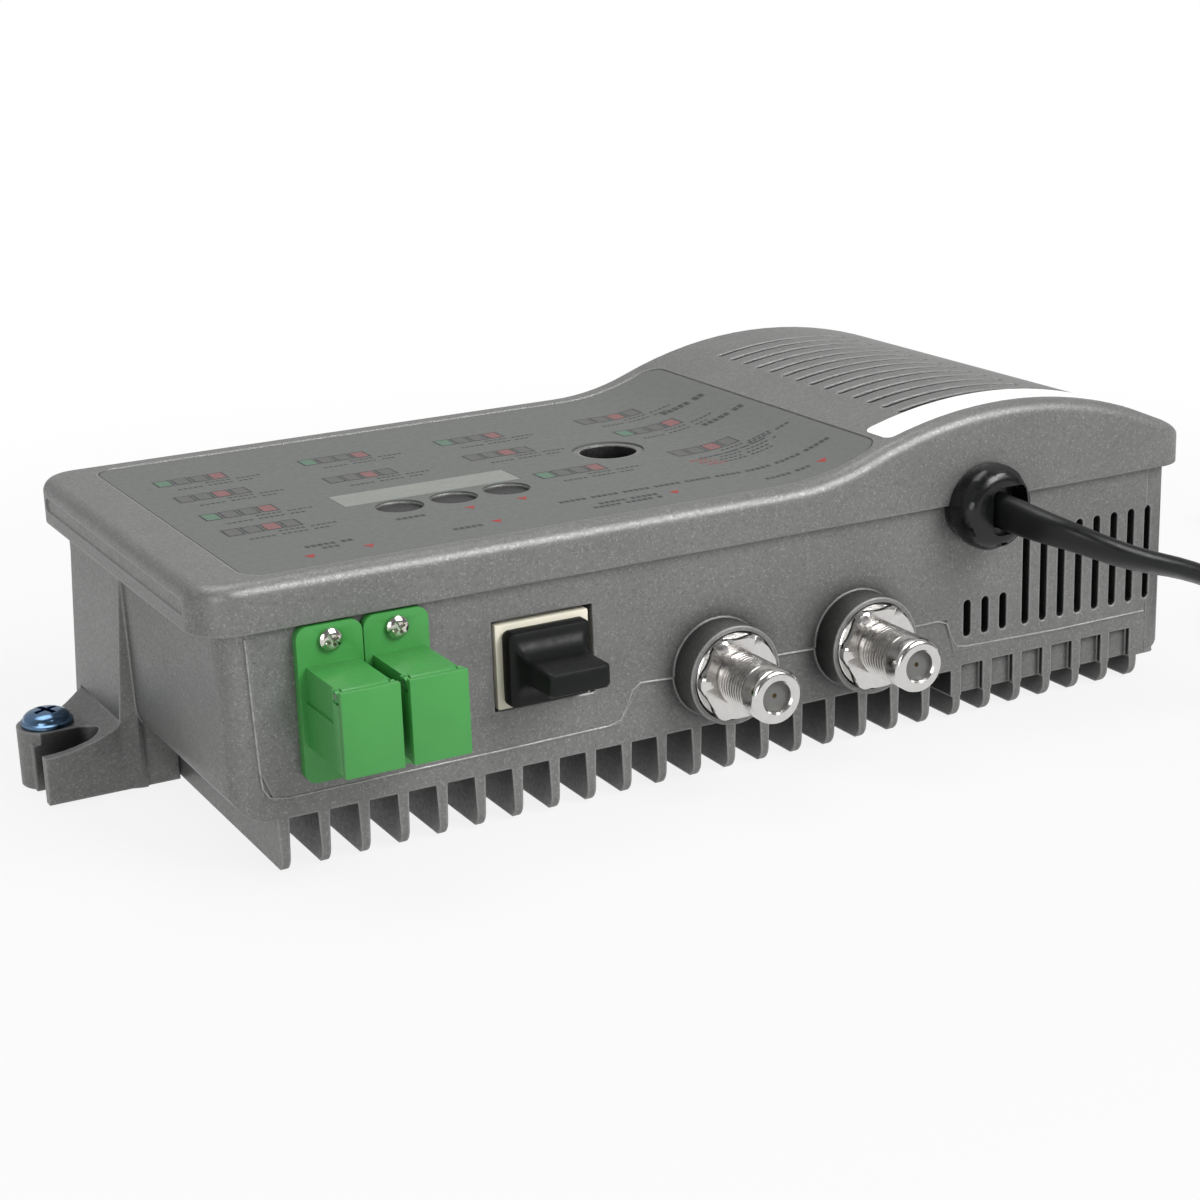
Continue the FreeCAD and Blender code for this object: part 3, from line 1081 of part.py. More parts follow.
def supply_parts():
    """Power supply parts on the supply board."""
    top = "supply_level + board_thick"
    keep("mains_terminal", standing_box("terminal_block", MAINS_TERMINAL, top))
    middle = "%s + fuse_rise" % top
    keep("fuse", rod("fuse_glass", "fuse_across", "fuse_front", middle, "fuse_width", "fuse_length", "y"))
    room = rod("fuse_room", "fuse_across", "fuse_front - 1", middle, "fuse_width", "fuse_length + 2", "y")
    clips = [cut("fuse_clip_cut_%d" % i, standing_box("fuse_clip_%d" % i, clip, top), [room])
             for i, clip in enumerate(FUSE_CLIPS)]
    keep("fuse_clips", group("fuse_clip_set", clips))
    keep("safety_capacitor", standing_box("safety_capacitor_box", SAFETY_CAPACITOR, top))
    keep("line_choke", standing_box("choke_block", LINE_CHOKE, top))

    # Transformer: core with two windows, winding round its middle leg, base under both
    keep("transformer_base", standing_box("transformer_base_block", TRANSFORMER_BASE, top))
    level = "%s + %g" % (top, TRANSFORMER_BASE[4])
    core = box("transformer_core_block", "core_left", "core_front", level, "core_length", "core_width",
               "core_height")
    window_tall = "core_height - 2 * core_yoke"
    windows = [box("transformer_window_%d" % i, left, "core_front - 1", "%s + core_yoke" % level, "core_eye",
                   "core_width + 2", window_tall)
               for i, left in enumerate(("core_left + core_limb",
                                         "core_left + core_length - core_limb - core_eye"))]
    keep("transformer_core", cut("transformer_core_cut", core, windows))
    leg = "core_length - 2 * core_limb - 2 * core_eye"
    outer = box("winding_outer", "core_left + core_limb + winding_gap", "core_front - winding_over",
                "%s + core_yoke + winding_gap" % level, "core_length - 2 * core_limb - 2 * winding_gap",
                "core_width + 2 * winding_over", "%s - 2 * winding_gap" % window_tall)
    inner = box("winding_inner", "core_left + core_limb + core_eye", "core_front", level, leg, "core_width",
                "core_height")
    keep("transformer_winding", cut("winding_cut", outer, [inner]))

    # The switching transistor stands against the heatsink plate
    keep("supply_heatsink", standing_box("heatsink_plate", HEATSINK, top))
    transistor = (HEATSINK[0] + HEATSINK[2], size.transistor_front, size.transistor_thick,
                  size.transistor_wide, size.transistor_tall)
    keep("switch_transistor", standing_box("transistor_block", transistor, "%s + transistor_rise" % top))
    keep("supply_capacitors", group("supply_capacitor_set", [standing_can("supply_capacitor_%d" % i, can, top)
                                                             for i, can in enumerate(SUPPLY_CAPACITORS)]))
    wires = Part.makeCompound([tube(route, WIRE_RADIUS) for route in WIRE_ROUTES])
    keep("mains_wires", feature("mains_wire_tubes", wires))


def write_parts():
    doc.recompute()
    for obj in doc.Objects:
        if "Invalid" in obj.State or "Error" in obj.State:
            raise RuntimeError("%s: %s" % (obj.Name, obj.State))
    for name, obj in NODES.items():
        if obj.Shape.isNull() or not obj.Shape.isValid() or not obj.Shape.Solids:
            raise RuntimeError("%s has no sound shape" % name)
    os.makedirs("parts", exist_ok=True)
    middle = V((size.base_left + size.base_right) / 2, (size.lid_back - size.coax_reach) / 2, 0)
    for name, obj in NODES.items():
        moved = obj.Shape.copy()
        moved.translate(-middle)
        moved.exportStep("parts/%s.step" % name)
    print("%d sub-parts written" % len(NODES))


base_casting()
lid_casting()
film_and_label()
boards()
buttons_and_display()
adapters()
network_jack()
coax_connectors()
fasteners()
bushing()
receiver_parts()
supply_parts()
cord_and_plug()
write_parts()
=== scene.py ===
"""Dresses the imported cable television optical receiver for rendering.

Sizes are written in millimetres. X runs along the front face, Y from the front face to the back, and Z
is up. Places are measured from the front wall's plane, and spot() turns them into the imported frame.
"""
import math

import bmesh
import bpy
from bpy.props import FloatProperty, FloatVectorProperty, IntProperty, PointerProperty
from mathutils import Euler, Matrix, Vector


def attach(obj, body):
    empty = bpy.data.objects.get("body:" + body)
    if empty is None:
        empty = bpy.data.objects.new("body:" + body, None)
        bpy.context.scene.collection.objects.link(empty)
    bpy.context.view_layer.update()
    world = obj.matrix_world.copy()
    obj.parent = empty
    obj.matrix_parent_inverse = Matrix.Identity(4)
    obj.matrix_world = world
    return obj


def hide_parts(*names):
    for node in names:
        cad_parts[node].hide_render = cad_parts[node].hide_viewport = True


bl_info = {
    "name": "Optical Receiver Dressing",
    "version": (1, 0, 0),
    "blender": (4, 5, 0),
    "location": "3D View > Sidebar > Receiver",
    "description": "Builds the finishes, cord and fine pieces of a cast optical receiver",
    "category": "Object",
}

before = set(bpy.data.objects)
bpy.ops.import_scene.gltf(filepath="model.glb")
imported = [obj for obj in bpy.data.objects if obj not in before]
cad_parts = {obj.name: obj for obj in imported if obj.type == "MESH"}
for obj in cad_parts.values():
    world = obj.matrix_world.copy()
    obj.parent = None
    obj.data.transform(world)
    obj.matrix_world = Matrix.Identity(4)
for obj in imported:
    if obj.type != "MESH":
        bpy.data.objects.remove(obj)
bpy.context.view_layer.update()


# Units, places and colours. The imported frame's origin lies under the middle of the footprint.
FOOTPRINT_MIDDLE = (-1.2, 34.5)


def mm(value):
    return value / 1000.0


def spot(x, y, z):
    """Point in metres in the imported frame, for a place in millimetres."""
    return Vector((mm(x - FOOTPRINT_MIDDLE[0]), mm(y - FOOTPRINT_MIDDLE[1]), mm(z)))


def tone(red, green, blue):
    """Linear colour of a screen colour given from 0 to 255."""
    def linear(value):
        share = value / 255.0
        return share / 12.92 if share <= 0.04045 else ((share + 0.055) / 1.055) ** 2.4
    return linear(red), linear(green), linear(blue)


# The lid's top in the front view, the film's depth in it and the ink's height on the film
LID_LEVEL = 49.3
HUMP_START = 8.0
HUMP_CREST = (55.0, 58.0)
HUMP_RADIUS = 84.0
FILM_SUNK = 0.15
INK_LIFT = 0.02


def lid_level(x):
    """Level of the lid's top at x: flat, a hollow arc, then the hump's round arc, all tangent."""
    run, rise = HUMP_CREST[0] - HUMP_START, HUMP_CREST[1] - LID_LEVEL
    hollow = (run ** 2 / rise - (2 * HUMP_RADIUS - rise)) / 2
    join = HUMP_START + run * hollow / (hollow + HUMP_RADIUS)
    if x <= HUMP_START:
        return LID_LEVEL
    if x <= join:
        return LID_LEVEL + hollow - math.sqrt(hollow ** 2 - (x - HUMP_START) ** 2)
    return HUMP_CREST[1] - HUMP_RADIUS + math.sqrt(HUMP_RADIUS ** 2 - (x - HUMP_CREST[0]) ** 2)


def ink_level(x):
    return lid_level(x) - FILM_SUNK + INK_LIFT


def eased(value, start, end):
    """Share from 0 to 1 of value between start and end, eased at both ends."""
    share = min(1.0, max(0.0, (value - start) / (end - start)))
    return share * share * (3 - 2 * share)


# Settings
class ReceiverSizes(bpy.types.PropertyGroup):
    cord_width: FloatProperty(name="Cord width", description="Wide side of the flat cord",
                              default=mm(5.2), unit="LENGTH")
    cord_thickness: FloatProperty(name="Cord thickness", description="Narrow side of the flat cord",
                                  default=mm(3.3), unit="LENGTH")
    coil_turns: IntProperty(name="Coil turns", description="Whole turns of the put-away cord",
                            default=7, min=1, max=7)
    coil_radius: FloatProperty(name="Coil radius", description="From the coil's middle to its turns",
                               default=mm(28.5), unit="LENGTH")
    thread_pitch: FloatProperty(name="Thread pitch", description="From ridge to ridge of the threads",
                                default=mm(0.794), unit="LENGTH")


class ReceiverColours(bpy.types.PropertyGroup):
    casting: FloatVectorProperty(name="Casting", description="Shot-blasted die casting", subtype="COLOR",
                                 default=tone(119, 119, 118))
    film: FloatVectorProperty(name="Film", description="Overlay film on the lid", subtype="COLOR",
                              default=tone(95, 97, 95))
    window: FloatVectorProperty(name="Window", description="Display window", subtype="COLOR",
                                default=tone(124, 127, 122))
    green: FloatVectorProperty(name="Adapter green", description="Optical adapters", subtype="COLOR",
                               default=tone(57, 134, 62))
    ivory: FloatVectorProperty(name="Jack ivory", description="Network jack", subtype="COLOR",
                               default=tone(212, 207, 190))
    nickel: FloatVectorProperty(name="Nickel", description="Coaxial connectors", subtype="COLOR",
                                default=tone(208, 206, 204))
    zinc: FloatVectorProperty(name="Blue zinc", description="Ground screw", subtype="COLOR",
                              default=tone(96, 124, 154))
    black: FloatVectorProperty(name="Black", description="Cord, bushing, buttons and dust plug",
                               subtype="COLOR", default=tone(13, 14, 14))


def sizes():
    return bpy.context.scene.receiver_sizes


def colours():
    return bpy.context.scene.receiver_colours


# Materials
def add_node(tree, kind, sockets, **settings):
    """New node with its settings, and with a value or another node's output on each named socket."""
    made = tree.nodes.new(kind)
    for key, value in settings.items():
        setattr(made, key, value)
    for socket, value in sockets.items():
        if isinstance(value, bpy.types.NodeSocket):
            tree.links.new(value, made.inputs[socket])
        else:
            made.inputs[socket].default_value = value
    return made


def spread(tree, source, low, high, to_low, to_high, curve="LINEAR"):
    """Source between low and high, spread over to_low and to_high."""
    return add_node(tree, "ShaderNodeMapRange", {
        "Value": source, "From Min": low, "From Max": high, "To Min": to_low, "To Max": to_high},
        interpolation_type=curve).outputs["Result"]


class Finish:
    """One procedural material, built on a Principled shader in Object coordinates."""

    def __init__(self, name, colour, roughness, metallic=0.0):
        self.material = bpy.data.materials.new(name)
        self.material.use_nodes = True
        self.tree = self.material.node_tree
        self.surface = self.tree.nodes["Principled BSDF"]
        self.set("Base Color", (*tuple(colour)[:3], 1.0))
        self.set("Roughness", roughness).set("Metallic", metallic)
        self.where = self.tree.nodes.new("ShaderNodeTexCoord").outputs["Object"]

    def set(self, socket, value):
        self.surface.inputs[socket].default_value = value
        return self

    def noise(self, grain, detail=2.0):
        """Noise whose features are about grain millimetres across."""
        return add_node(self.tree, "ShaderNodeTexNoise", {
            "Vector": self.where, "Scale": 1.0 / mm(grain), "Detail": detail}).outputs["Fac"]

    def cells(self, grain):
        """Random value for each cell of about grain millimetres."""
        made = add_node(self.tree, "ShaderNodeTexVoronoi", {"Vector": self.where, "Scale": 1.0 / mm(grain)})
        return add_node(self.tree, "ShaderNodeSeparateColor", {"Color": made.outputs["Color"]}).outputs["Red"]

    def span(self, source, low, high, to_low=0.0, to_high=1.0):
        return spread(self.tree, source, low, high, to_low, to_high)

    def tint(self, factor, colour, strength=1.0):
        """Mixes colour into the base colour by factor."""
        base = self.surface.inputs["Base Color"]
        so_far = base.links[0].from_socket if base.is_linked else base.default_value
        made = add_node(self.tree, "ShaderNodeMix", {
            "Factor": self.span(factor, 0.0, 1.0, 0.0, strength), "A": so_far,
            "B": (*tuple(colour)[:3], 1.0)}, data_type="RGBA")
        self.tree.links.new(made.outputs["Result"], base)
        return self

    def edges(self, radius):
        """Rounds the edges in the shading by radius millimetres, and gives how near to one each point is."""
        rounded = add_node(self.tree, "ShaderNodeBevel", {"Radius": mm(radius)}, samples=4).outputs["Normal"]
        plain = self.tree.nodes.new("ShaderNodeNewGeometry").outputs["Normal"]
        alike = add_node(self.tree, "ShaderNodeVectorMath", {0: rounded, 1: plain}, operation="DOT_PRODUCT")
        self.tree.links.new(rounded, self.surface.inputs["Normal"])
        return self.span(alike.outputs["Value"], 0.995, 0.90)

    def painted_hollow_shade(self, reach):
        """Share of painted shade in the piece's own gaps and corners, by what stands within reach
        millimetres.
        """
        made = add_node(self.tree, "ShaderNodeAmbientOcclusion", {"Distance": mm(reach)}, samples=6,
                        only_local=True)
        return self.span(made.outputs["AO"], 0.76, 0.5)

    def rough(self, source, low, high):
        """Roughness between low and high, by source."""
        self.tree.links.new(self.span(source, 0.3, 0.7, low, high), self.surface.inputs["Roughness"])
        return self

    def bump(self, source, depth, strength=1.0):
        """Bump of depth millimetres by source, on top of those before it."""
        normal = self.surface.inputs["Normal"]
        sockets = {"Distance": mm(depth), "Strength": strength, "Height": source}
        if normal.is_linked:
            sockets["Normal"] = normal.links[0].from_socket
        self.tree.links.new(add_node(self.tree, "ShaderNodeBump", sockets).outputs["Normal"], normal)
        return self


def shade(colour, factor):
    return tuple(min(1.0, channel * factor) for channel in tuple(colour)[:3])


FINISHES = {}


def finish(name):
    """Material by name, made once."""
    if name not in FINISHES:
        FINISHES[name] = MAKERS[name]().material
    return FINISHES[name]


def cast_metal():
    base = colours().casting
    made = Finish("Cast aluminium", base, 0.5, 0.5).set("Specular IOR Level", 0.3)
    wear_and_highlight = made.edges(0.6)
    made.tint(made.span(made.noise(16.0), 0.35, 0.65), shade(base, 0.84), 0.6)
    made.tint(made.span(made.noise(1.0, 4.0), 0.42, 0.60), shade(base, 0.84), 0.6)
    made.tint(made.span(made.cells(0.26), 0.80, 0.98), shade(base, 1.7), 0.5)
    made.tint(made.span(made.cells(0.3), 0.16, 0.03), shade(base, 0.6), 0.5)
    # Painted shade: the gaps between the fins and the other hollows darkened almost to black
    made.tint(made.painted_hollow_shade(30.0), shade(base, 0.06), 0.97)
    # Wear and painted highlight: the edges lightened towards 2.3 times the casting colour
    made.tint(wear_and_highlight, shade(base, 2.3), 0.7)
    made.rough(made.noise(0.6, 3.0), 0.36, 0.52)
    made.bump(made.noise(0.3, 3.0), 0.04, 0.7)
    made.bump(made.noise(2.6, 1.0), 0.05, 0.3)
    return made


def highlit_parting_metal():
    # Painted highlight: the bead is 1.8 times lighter than the casting, with patches of the casting's own
    # colour
    base = shade(colours().casting, 1.8)
    made = Finish("Parting line", base, 0.42, 0.5)
    made.tint(made.span(made.noise(0.8, 3.0), 0.40, 0.60), colours().casting, 0.6)
    made.bump(made.noise(0.3, 2.0), 0.05, 0.6)
    return made


def printed_film():
    base = colours().film
    made = Finish("Overlay film", base, 0.5).set("Specular IOR Level", 0.2)
    made.tint(made.noise(22.0), shade(base, 1.10), 0.5)
    made.tint(made.span(made.noise(0.5, 1.0), 0.45, 0.6), shade(base, 0.93), 0.5)
    made.rough(made.noise(1.2), 0.44, 0.56)
    made.bump(made.noise(0.28, 2.0), 0.008, 0.5)
    return made


def print_ink(name, colour):
    made = Finish(name, colour, 0.55).set("Specular IOR Level", 0.2)
    made.tint(made.span(made.noise(0.5, 2.0), 0.45, 0.62), colours().film, 0.4)
    return made


def bare_paper():
    made = Finish("Bare label", tone(236, 236, 234), 0.38)
    made.tint(made.noise(6.0), tone(224, 224, 221), 0.5)
    made.bump(made.noise(0.7, 2.0), 0.006, 0.4)
    return made


def moulded(name, colour, roughness, grain=0.5, depth=0.012, gloss=0.5):
    made = Finish(name, colour, roughness).set("Specular IOR Level", gloss)
    made.tint(made.span(made.noise(5.0), 0.35, 0.65), shade(colour, 0.9), 0.45)
    made.rough(made.noise(1.1), roughness - 0.06, roughness + 0.07)
    made.bump(made.noise(grain, 2.0), depth, 0.5)
    return made


def plated(name, colour, roughness, grain=0.8):
    made = Finish(name, colour, roughness, 1.0)
    made.tint(made.span(made.noise(1.5), 0.4, 0.7), shade(colour, 0.86), 0.4)
    made.rough(made.noise(grain, 3.0), roughness - 0.05, roughness + 0.08)
    made.bump(made.noise(0.5, 2.0), 0.004, 0.4)
    return made


def circuit_board():
    base = tone(24, 86, 48)
    made = Finish("Circuit board", base, 0.35)
    made.tint(made.span(made.cells(1.6), 0.55, 0.62), shade(base, 1.35), 0.5)
    made.tint(made.span(made.noise(1.1), 0.62, 0.66), tone(190, 180, 150), 0.5)
    made.bump(made.cells(1.6), 0.03, 0.4)
    return made


def fibre_jacket():
    made = Finish("Fibre jacket", tone(232, 196, 52), 0.35)
    made.tint(made.noise(2.0), tone(214, 176, 40), 0.4)
    return made


def glass_tube():
    made = Finish("Fuse glass", tone(230, 236, 232), 0.08)
    made.set("Alpha", 0.45)
    made.tint(made.noise(1.5), tone(212, 220, 216), 0.3)
    return made


MAKERS = {
    "cast": cast_metal,
    "parting": highlit_parting_metal,
    "film": printed_film,
    "paper": bare_paper,
    "faded_green": lambda: print_ink("Faded green ink", tone(84, 112, 94)),
    "faded_grey": lambda: print_ink("Faded grey ink", tone(88, 88, 87)),
    "faded_red": lambda: print_ink("Faded red ink", tone(124, 84, 84)),
    "ink_dark": lambda: print_ink("Dark ink", tone(52, 54, 53)),
    "ink_red": lambda: print_ink("Red ink", tone(134, 62, 60)),
    "ink_signal": lambda: print_ink("Signal red ink", tone(150, 44, 40)),
    "window": lambda: moulded("Display window", colours().window, 0.4, 2.0, 0.004, 0.3),
    "green": lambda: moulded("Green moulding", colours().green, 0.40, 0.4, 0.008),
    "ivory": lambda: moulded("Ivory moulding", colours().ivory, 0.45),
    "black_satin": lambda: moulded("Black satin moulding", colours().black, 0.44, 0.3, 0.01, 0.2),
    "black_gloss": lambda: moulded("Black nylon", shade(colours().black, 0.8), 0.24, 1.5, 0.01, 0.4),
    "button": lambda: moulded("Button moulding", tone(40, 42, 40), 0.6),
    "jacket": lambda: moulded("Cord jacket", shade(colours().black, 1.1), 0.36, 0.8, 0.012, 0.3),
    "nickel": lambda: plated("Nickel plate", colours().nickel, 0.17),
    "bright": lambda: plated("Bright plate", tone(208, 206, 198), 0.14),
    "zinc": lambda: plated("Blue zinc plate", colours().zinc, 0.2),
    "steel": lambda: plated("Plain steel", tone(168, 168, 166), 0.3),
    "gold": lambda: plated("Gold plate", tone(206, 170, 96), 0.2),
    "brass": lambda: plated("Turned brass", tone(196, 164, 92), 0.28),
    "tin": lambda: plated("Tinned sheet", tone(186, 186, 182), 0.3),
    "insulator": lambda: moulded("Grey insulator", tone(92, 92, 90), 0.45),
    "ceramic": lambda: moulded("Ground ceramic", tone(236, 235, 230), 0.25),
    "board": circuit_board,
    "sleeve": lambda: moulded("Dark sleeve", tone(32, 36, 58), 0.3),
    "chip": lambda: moulded("Chip moulding", tone(34, 34, 34), 0.5),
    "terminal": lambda: moulded("Terminal moulding", tone(30, 104, 64), 0.42),
    "yellow": lambda: moulded("Yellow case", tone(216, 178, 60), 0.42),
    "ferrite": lambda: moulded("Ferrite", tone(62, 62, 64), 0.6),
    "plate": lambda: plated("Plain aluminium", tone(190, 190, 190), 0.32),
    "blue": lambda: moulded("Blue sleeve", tone(40, 66, 120), 0.35),
    "fibre": fibre_jacket,
    "glass": glass_tube,
}


def paint(node, name):
    """Gives a CAD node's object its finish."""
    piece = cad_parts[node]
    if not piece.material_slots:
        piece.data.materials.append(finish(name))
    for slot in piece.material_slots:
        slot.material = finish(name)


# Making pieces
FACET_ANGLE = 32.0  # Facets of a CAD mesh that meet at less than this look as one surface


def new_piece(name, mesh, material):
    piece = bpy.data.objects.new(name.replace(" ", "_"), mesh)
    bpy.context.scene.collection.objects.link(piece)
    if material:
        mesh.materials.clear()
        mesh.materials.append(finish(material))
    return piece


def baked(piece):
    """Turns a piece with modifiers into a plain mesh."""
    mesh = bpy.data.meshes.new_from_object(piece.evaluated_get(bpy.context.evaluated_depsgraph_get()))
    mesh.name = piece.name
    piece.modifiers.clear()
    piece.data = mesh
    return piece


def smooth(mesh, angle=40.0):
    if "custom_normal" in mesh.attributes:
        mesh.attributes.remove(mesh.attributes["custom_normal"])
    mesh.polygons.foreach_set("use_smooth", [True] * len(mesh.polygons))
    mesh.set_sharp_from_angle(angle=math.radians(angle))
    mesh.update()


def mesh_of(name, points, faces, smooth_angle=40.0):
    mesh = bpy.data.meshes.new(name)
    mesh.from_pydata([tuple(p) for p in points], [], faces)
    mesh.validate()
    work = bmesh.new()
    work.from_mesh(mesh)
    bmesh.ops.recalc_face_normals(work, faces=work.faces)
    work.to_mesh(mesh)
    work.free()
    smooth(mesh, smooth_angle)
    return mesh


def ringed(name, rings, closed_start=True, closed_end=True, smooth_angle=40.0):
    """Mesh skinned over rings of equal numbers of points."""
    count = len(rings[0])
    points = [p for ring in rings for p in ring]
    faces = []
    for r in range(len(rings) - 1):
        for i in range(count):
            j = (i + 1) % count
            faces.append((r * count + i, r * count + j, (r + 1) * count + j, (r + 1) * count + i))
    if closed_start:
        faces.append(tuple(range(count))[::-1])
    if closed_end:
        last = (len(rings) - 1) * count
        faces.append(tuple(range(last, last + count)))
    return mesh_of(name, points, faces, smooth_angle)


def merged_copy(node, change):
    """Copy of a CAD node's mesh with its doubled points merged, and changed by a function of its bmesh."""
    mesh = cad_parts[node].data.copy()
    work = bmesh.new()
    work.from_mesh(mesh)
    bmesh.ops.remove_doubles(work, verts=work.verts, dist=mm(0.002))
    change(work)
    work.to_mesh(mesh)
    work.free()
    return mesh


def join_flats(work):
    """Joins the triangles of each flat face."""
    bmesh.ops.dissolve_limit(work, angle_limit=math.radians(1.0), verts=work.verts, edges=work.edges)


def softened(node, name, material, width, angle=35.0, segments=2):
    """Copy of a CAD node with rounded edges, standing for the node."""
    piece = new_piece(name, merged_copy(node, join_flats), material)
    bevel = piece.modifiers.new("Rounded edges", "BEVEL")
    bevel.width = width
    bevel.segments = segments
    bevel.limit_method = "ANGLE"
    bevel.angle_limit = math.radians(angle)
    baked(piece)
    smooth(piece.data, FACET_ANGLE)
    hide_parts(node)
    return piece


def repeated(name, unit, count, step, material):
    """Geometry Nodes row: unit repeated count times, step apart, as one plain mesh."""
    tree = bpy.data.node_groups.new(name + " row", "GeometryNodeTree")
    tree.interface.new_socket("Geometry", in_out="INPUT", socket_type="NodeSocketGeometry")
    wanted = tree.interface.new_socket("Count", in_out="INPUT", socket_type="NodeSocketInt")
    spacing = tree.interface.new_socket("Step", in_out="INPUT", socket_type="NodeSocketVector")
    tree.interface.new_socket("Geometry", in_out="OUTPUT", socket_type="NodeSocketGeometry")
    start = tree.nodes.new("NodeGroupInput")
    line = add_node(tree, "GeometryNodeMeshLine", {"Count": start.outputs["Count"],
                                                   "Offset": start.outputs["Step"]})
    stand = add_node(tree, "GeometryNodeInstanceOnPoints", {"Points": line.outputs["Mesh"],
                                                            "Instance": start.outputs["Geometry"]})
    real = add_node(tree, "GeometryNodeRealizeInstances", {"Geometry": stand.outputs["Instances"]})
    coat = add_node(tree, "GeometryNodeSetMaterial", {"Geometry": real.outputs["Geometry"],
                                                      "Material": finish(material)})
    add_node(tree, "NodeGroupOutput", {"Geometry": coat.outputs["Geometry"]})
    piece = new_piece(name, unit, material)
    row = piece.modifiers.new("Row", "NODES")
    row.node_group = tree
    row[wanted.identifier] = count
    row[spacing.identifier] = step
    return baked(piece)


def done(piece, body):
    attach(piece, body)
    return piece


# Shapes
def on_axis(base, along, reach, across, rise):
    """Point beside an axis through base, at reach along it: "front" runs to -Y and "up" to +Z."""
    if along == "front":
        return spot(base[0] + across, base[1] - reach, base[2] + rise)
    return spot(base[0] + across, base[1] + rise, base[2] + reach)


def turned(name, base, along, stations, material, sides=64, flats=None, sharp=35.0):
    """Turned piece on an axis through base, in millimetres.

    Stations are (distance, radius), with a third value true where a hexagon of width flats cuts them.
    """
    rings = []
    for reach, radius, *cut in stations:
        ring = []
        for i in range(sides):
            angle = 2 * math.pi * i / sides
            size = radius
            if cut:
                fold = angle % (math.pi / 3) - math.pi / 6
                size = min(radius, flats / 2 / math.cos(fold))
            ring.append(on_axis(base, along, reach, size * math.cos(angle), size * math.sin(angle)))
        rings.append(ring)
    return new_piece(name, ringed(name, rings, smooth_angle=sharp), material)


def brick(name, low, high, material):
    """Plain block between two corners in millimetres."""
    (x0, y0, z0), (x1, y1, z1) = low, high
    points = [spot(x, y, z) for x in (x0, x1) for y in (y0, y1) for z in (z0, z1)]
    faces = [(0, 1, 3, 2), (4, 6, 7, 5), (0, 4, 5, 1), (2, 3, 7, 6), (0, 2, 6, 4), (1, 5, 7, 3)]
    return new_piece(name, mesh_of(name, points, faces), material)


def carved(piece, cutter):
    """Takes cutter out of piece and removes the cutter."""
    cut = piece.modifiers.new("Recess", "BOOLEAN")
    cut.operation = "DIFFERENCE"
    cut.solver = "EXACT"
    cut.object = cutter
    baked(piece)
    bpy.data.objects.remove(cutter)
    smooth(piece.data, 35.0)
    return piece


CROSS_TAPER = 1.35


def cross_cutter(base, along, surface, depth, span, width, turn):
    """Tapered cross that leaves a cross recess at distance surface on the axis."""
    outline = [(-width, -span), (width, -span), (width, -width), (span, -width), (span, width),
               (width, width), (width, span), (-width, span), (-width, width), (-span, width),
               (-span, -width), (-width, -width)]
    rings = []
    for reach, scale in ((surface - depth, 1.0 / CROSS_TAPER), (surface + depth, CROSS_TAPER)):
        rings.append([on_axis(base, along, reach, scale * (u * math.cos(turn) - v * math.sin(turn)) / 2,
                              scale * (u * math.sin(turn) + v * math.cos(turn)) / 2) for u, v in outline])
    return new_piece("Cross cutter", ringed("Cross cutter", rings), None)


def curve_through(name, kind, places):
    """Curve with one spline of a kind through places, and that spline."""
    curve = bpy.data.curves.new(name, "CURVE")
    curve.dimensions = "3D"
    line = curve.splines.new(kind)
    line.points.add(len(places) - 1)
    for point, place in zip(line.points, places):
        point.co = (*place, 1.0)
    return curve, line


def mesh_of_curve(curve):
    guide = bpy.data.objects.new(curve.name, curve)
    bpy.context.scene.collection.objects.link(guide)
    bpy.context.view_layer.update()
    mesh = bpy.data.meshes.new_from_object(guide.evaluated_get(bpy.context.evaluated_depsgraph_get()))
    bpy.data.objects.remove(guide)
    return mesh


def bead(name, route, radius, material):
    """Round bead along a route of points in millimetres."""
    curve, _ = curve_through(name, "POLY", [spot(*place) for place in route])
    curve.bevel_depth = mm(radius)
    curve.bevel_resolution = 2
    curve.use_fill_caps = True
    mesh = mesh_of_curve(curve)
    smooth(mesh)
    return new_piece(name, mesh, material)


def rounded_ring(x, y, z, wide, tall, corner, per_corner=8):
    """Closed ring of points around a rounded rectangle in the plane y."""
    ring = []
    for quarter, (sx, sz) in enumerate(((1, 1), (-1, 1), (-1, -1), (1, -1))):
        for i in range(per_corner):
            angle = math.pi / 2 * (quarter + i / (per_corner - 1))
            ring.append(spot(x + sx * (wide / 2 - corner) + corner * math.cos(angle), y,
                             z + sz * (tall / 2 - corner) + corner * math.sin(angle)))
    return ring


def print_patch(x0, x1, y0, y1):
    """Points and faces of an ink patch lying on the film, which follows the hump's foot."""
    steps = 1 if x1 <= HUMP_START else max(2, int((x1 - x0) / 0.8))
    points, faces = [], []
    for i in range(steps + 1):
        x = x0 + (x1 - x0) * i / steps
        points += [spot(x, y0, ink_level(x)), spot(x, y1, ink_level(x))]
    for i in range(steps):
        faces.append((2 * i, 2 * i + 2, 2 * i + 3, 2 * i + 1))
    return points, faces


def printed(name, patches, material):
    """One piece of ink out of several patches."""
    points, faces = [], []
    for patch_points, patch_faces in patches:
        start = len(points)
        points += patch_points
        faces += [tuple(start + i for i in face) for face in patch_faces]
    mesh = mesh_of(name, points, faces)
    if mesh.polygons[0].normal.z < 0:
        mesh.flip_normals()
    return done(new_piece(name, mesh, material), "housing")


# Camera, floor and light
WHITE = (1.0, 1.0, 1.0, 1.0)
# Camera fitted to the photo: place and lens in millimetres, angles in degrees
CAMERA_PLACE = (-202.0, -331.6, 152.1)
CAMERA_LENS = 71.02
CAMERA_DOWN, CAMERA_RIGHT, CAMERA_ROLL = 17.273, 27.651, -1.961
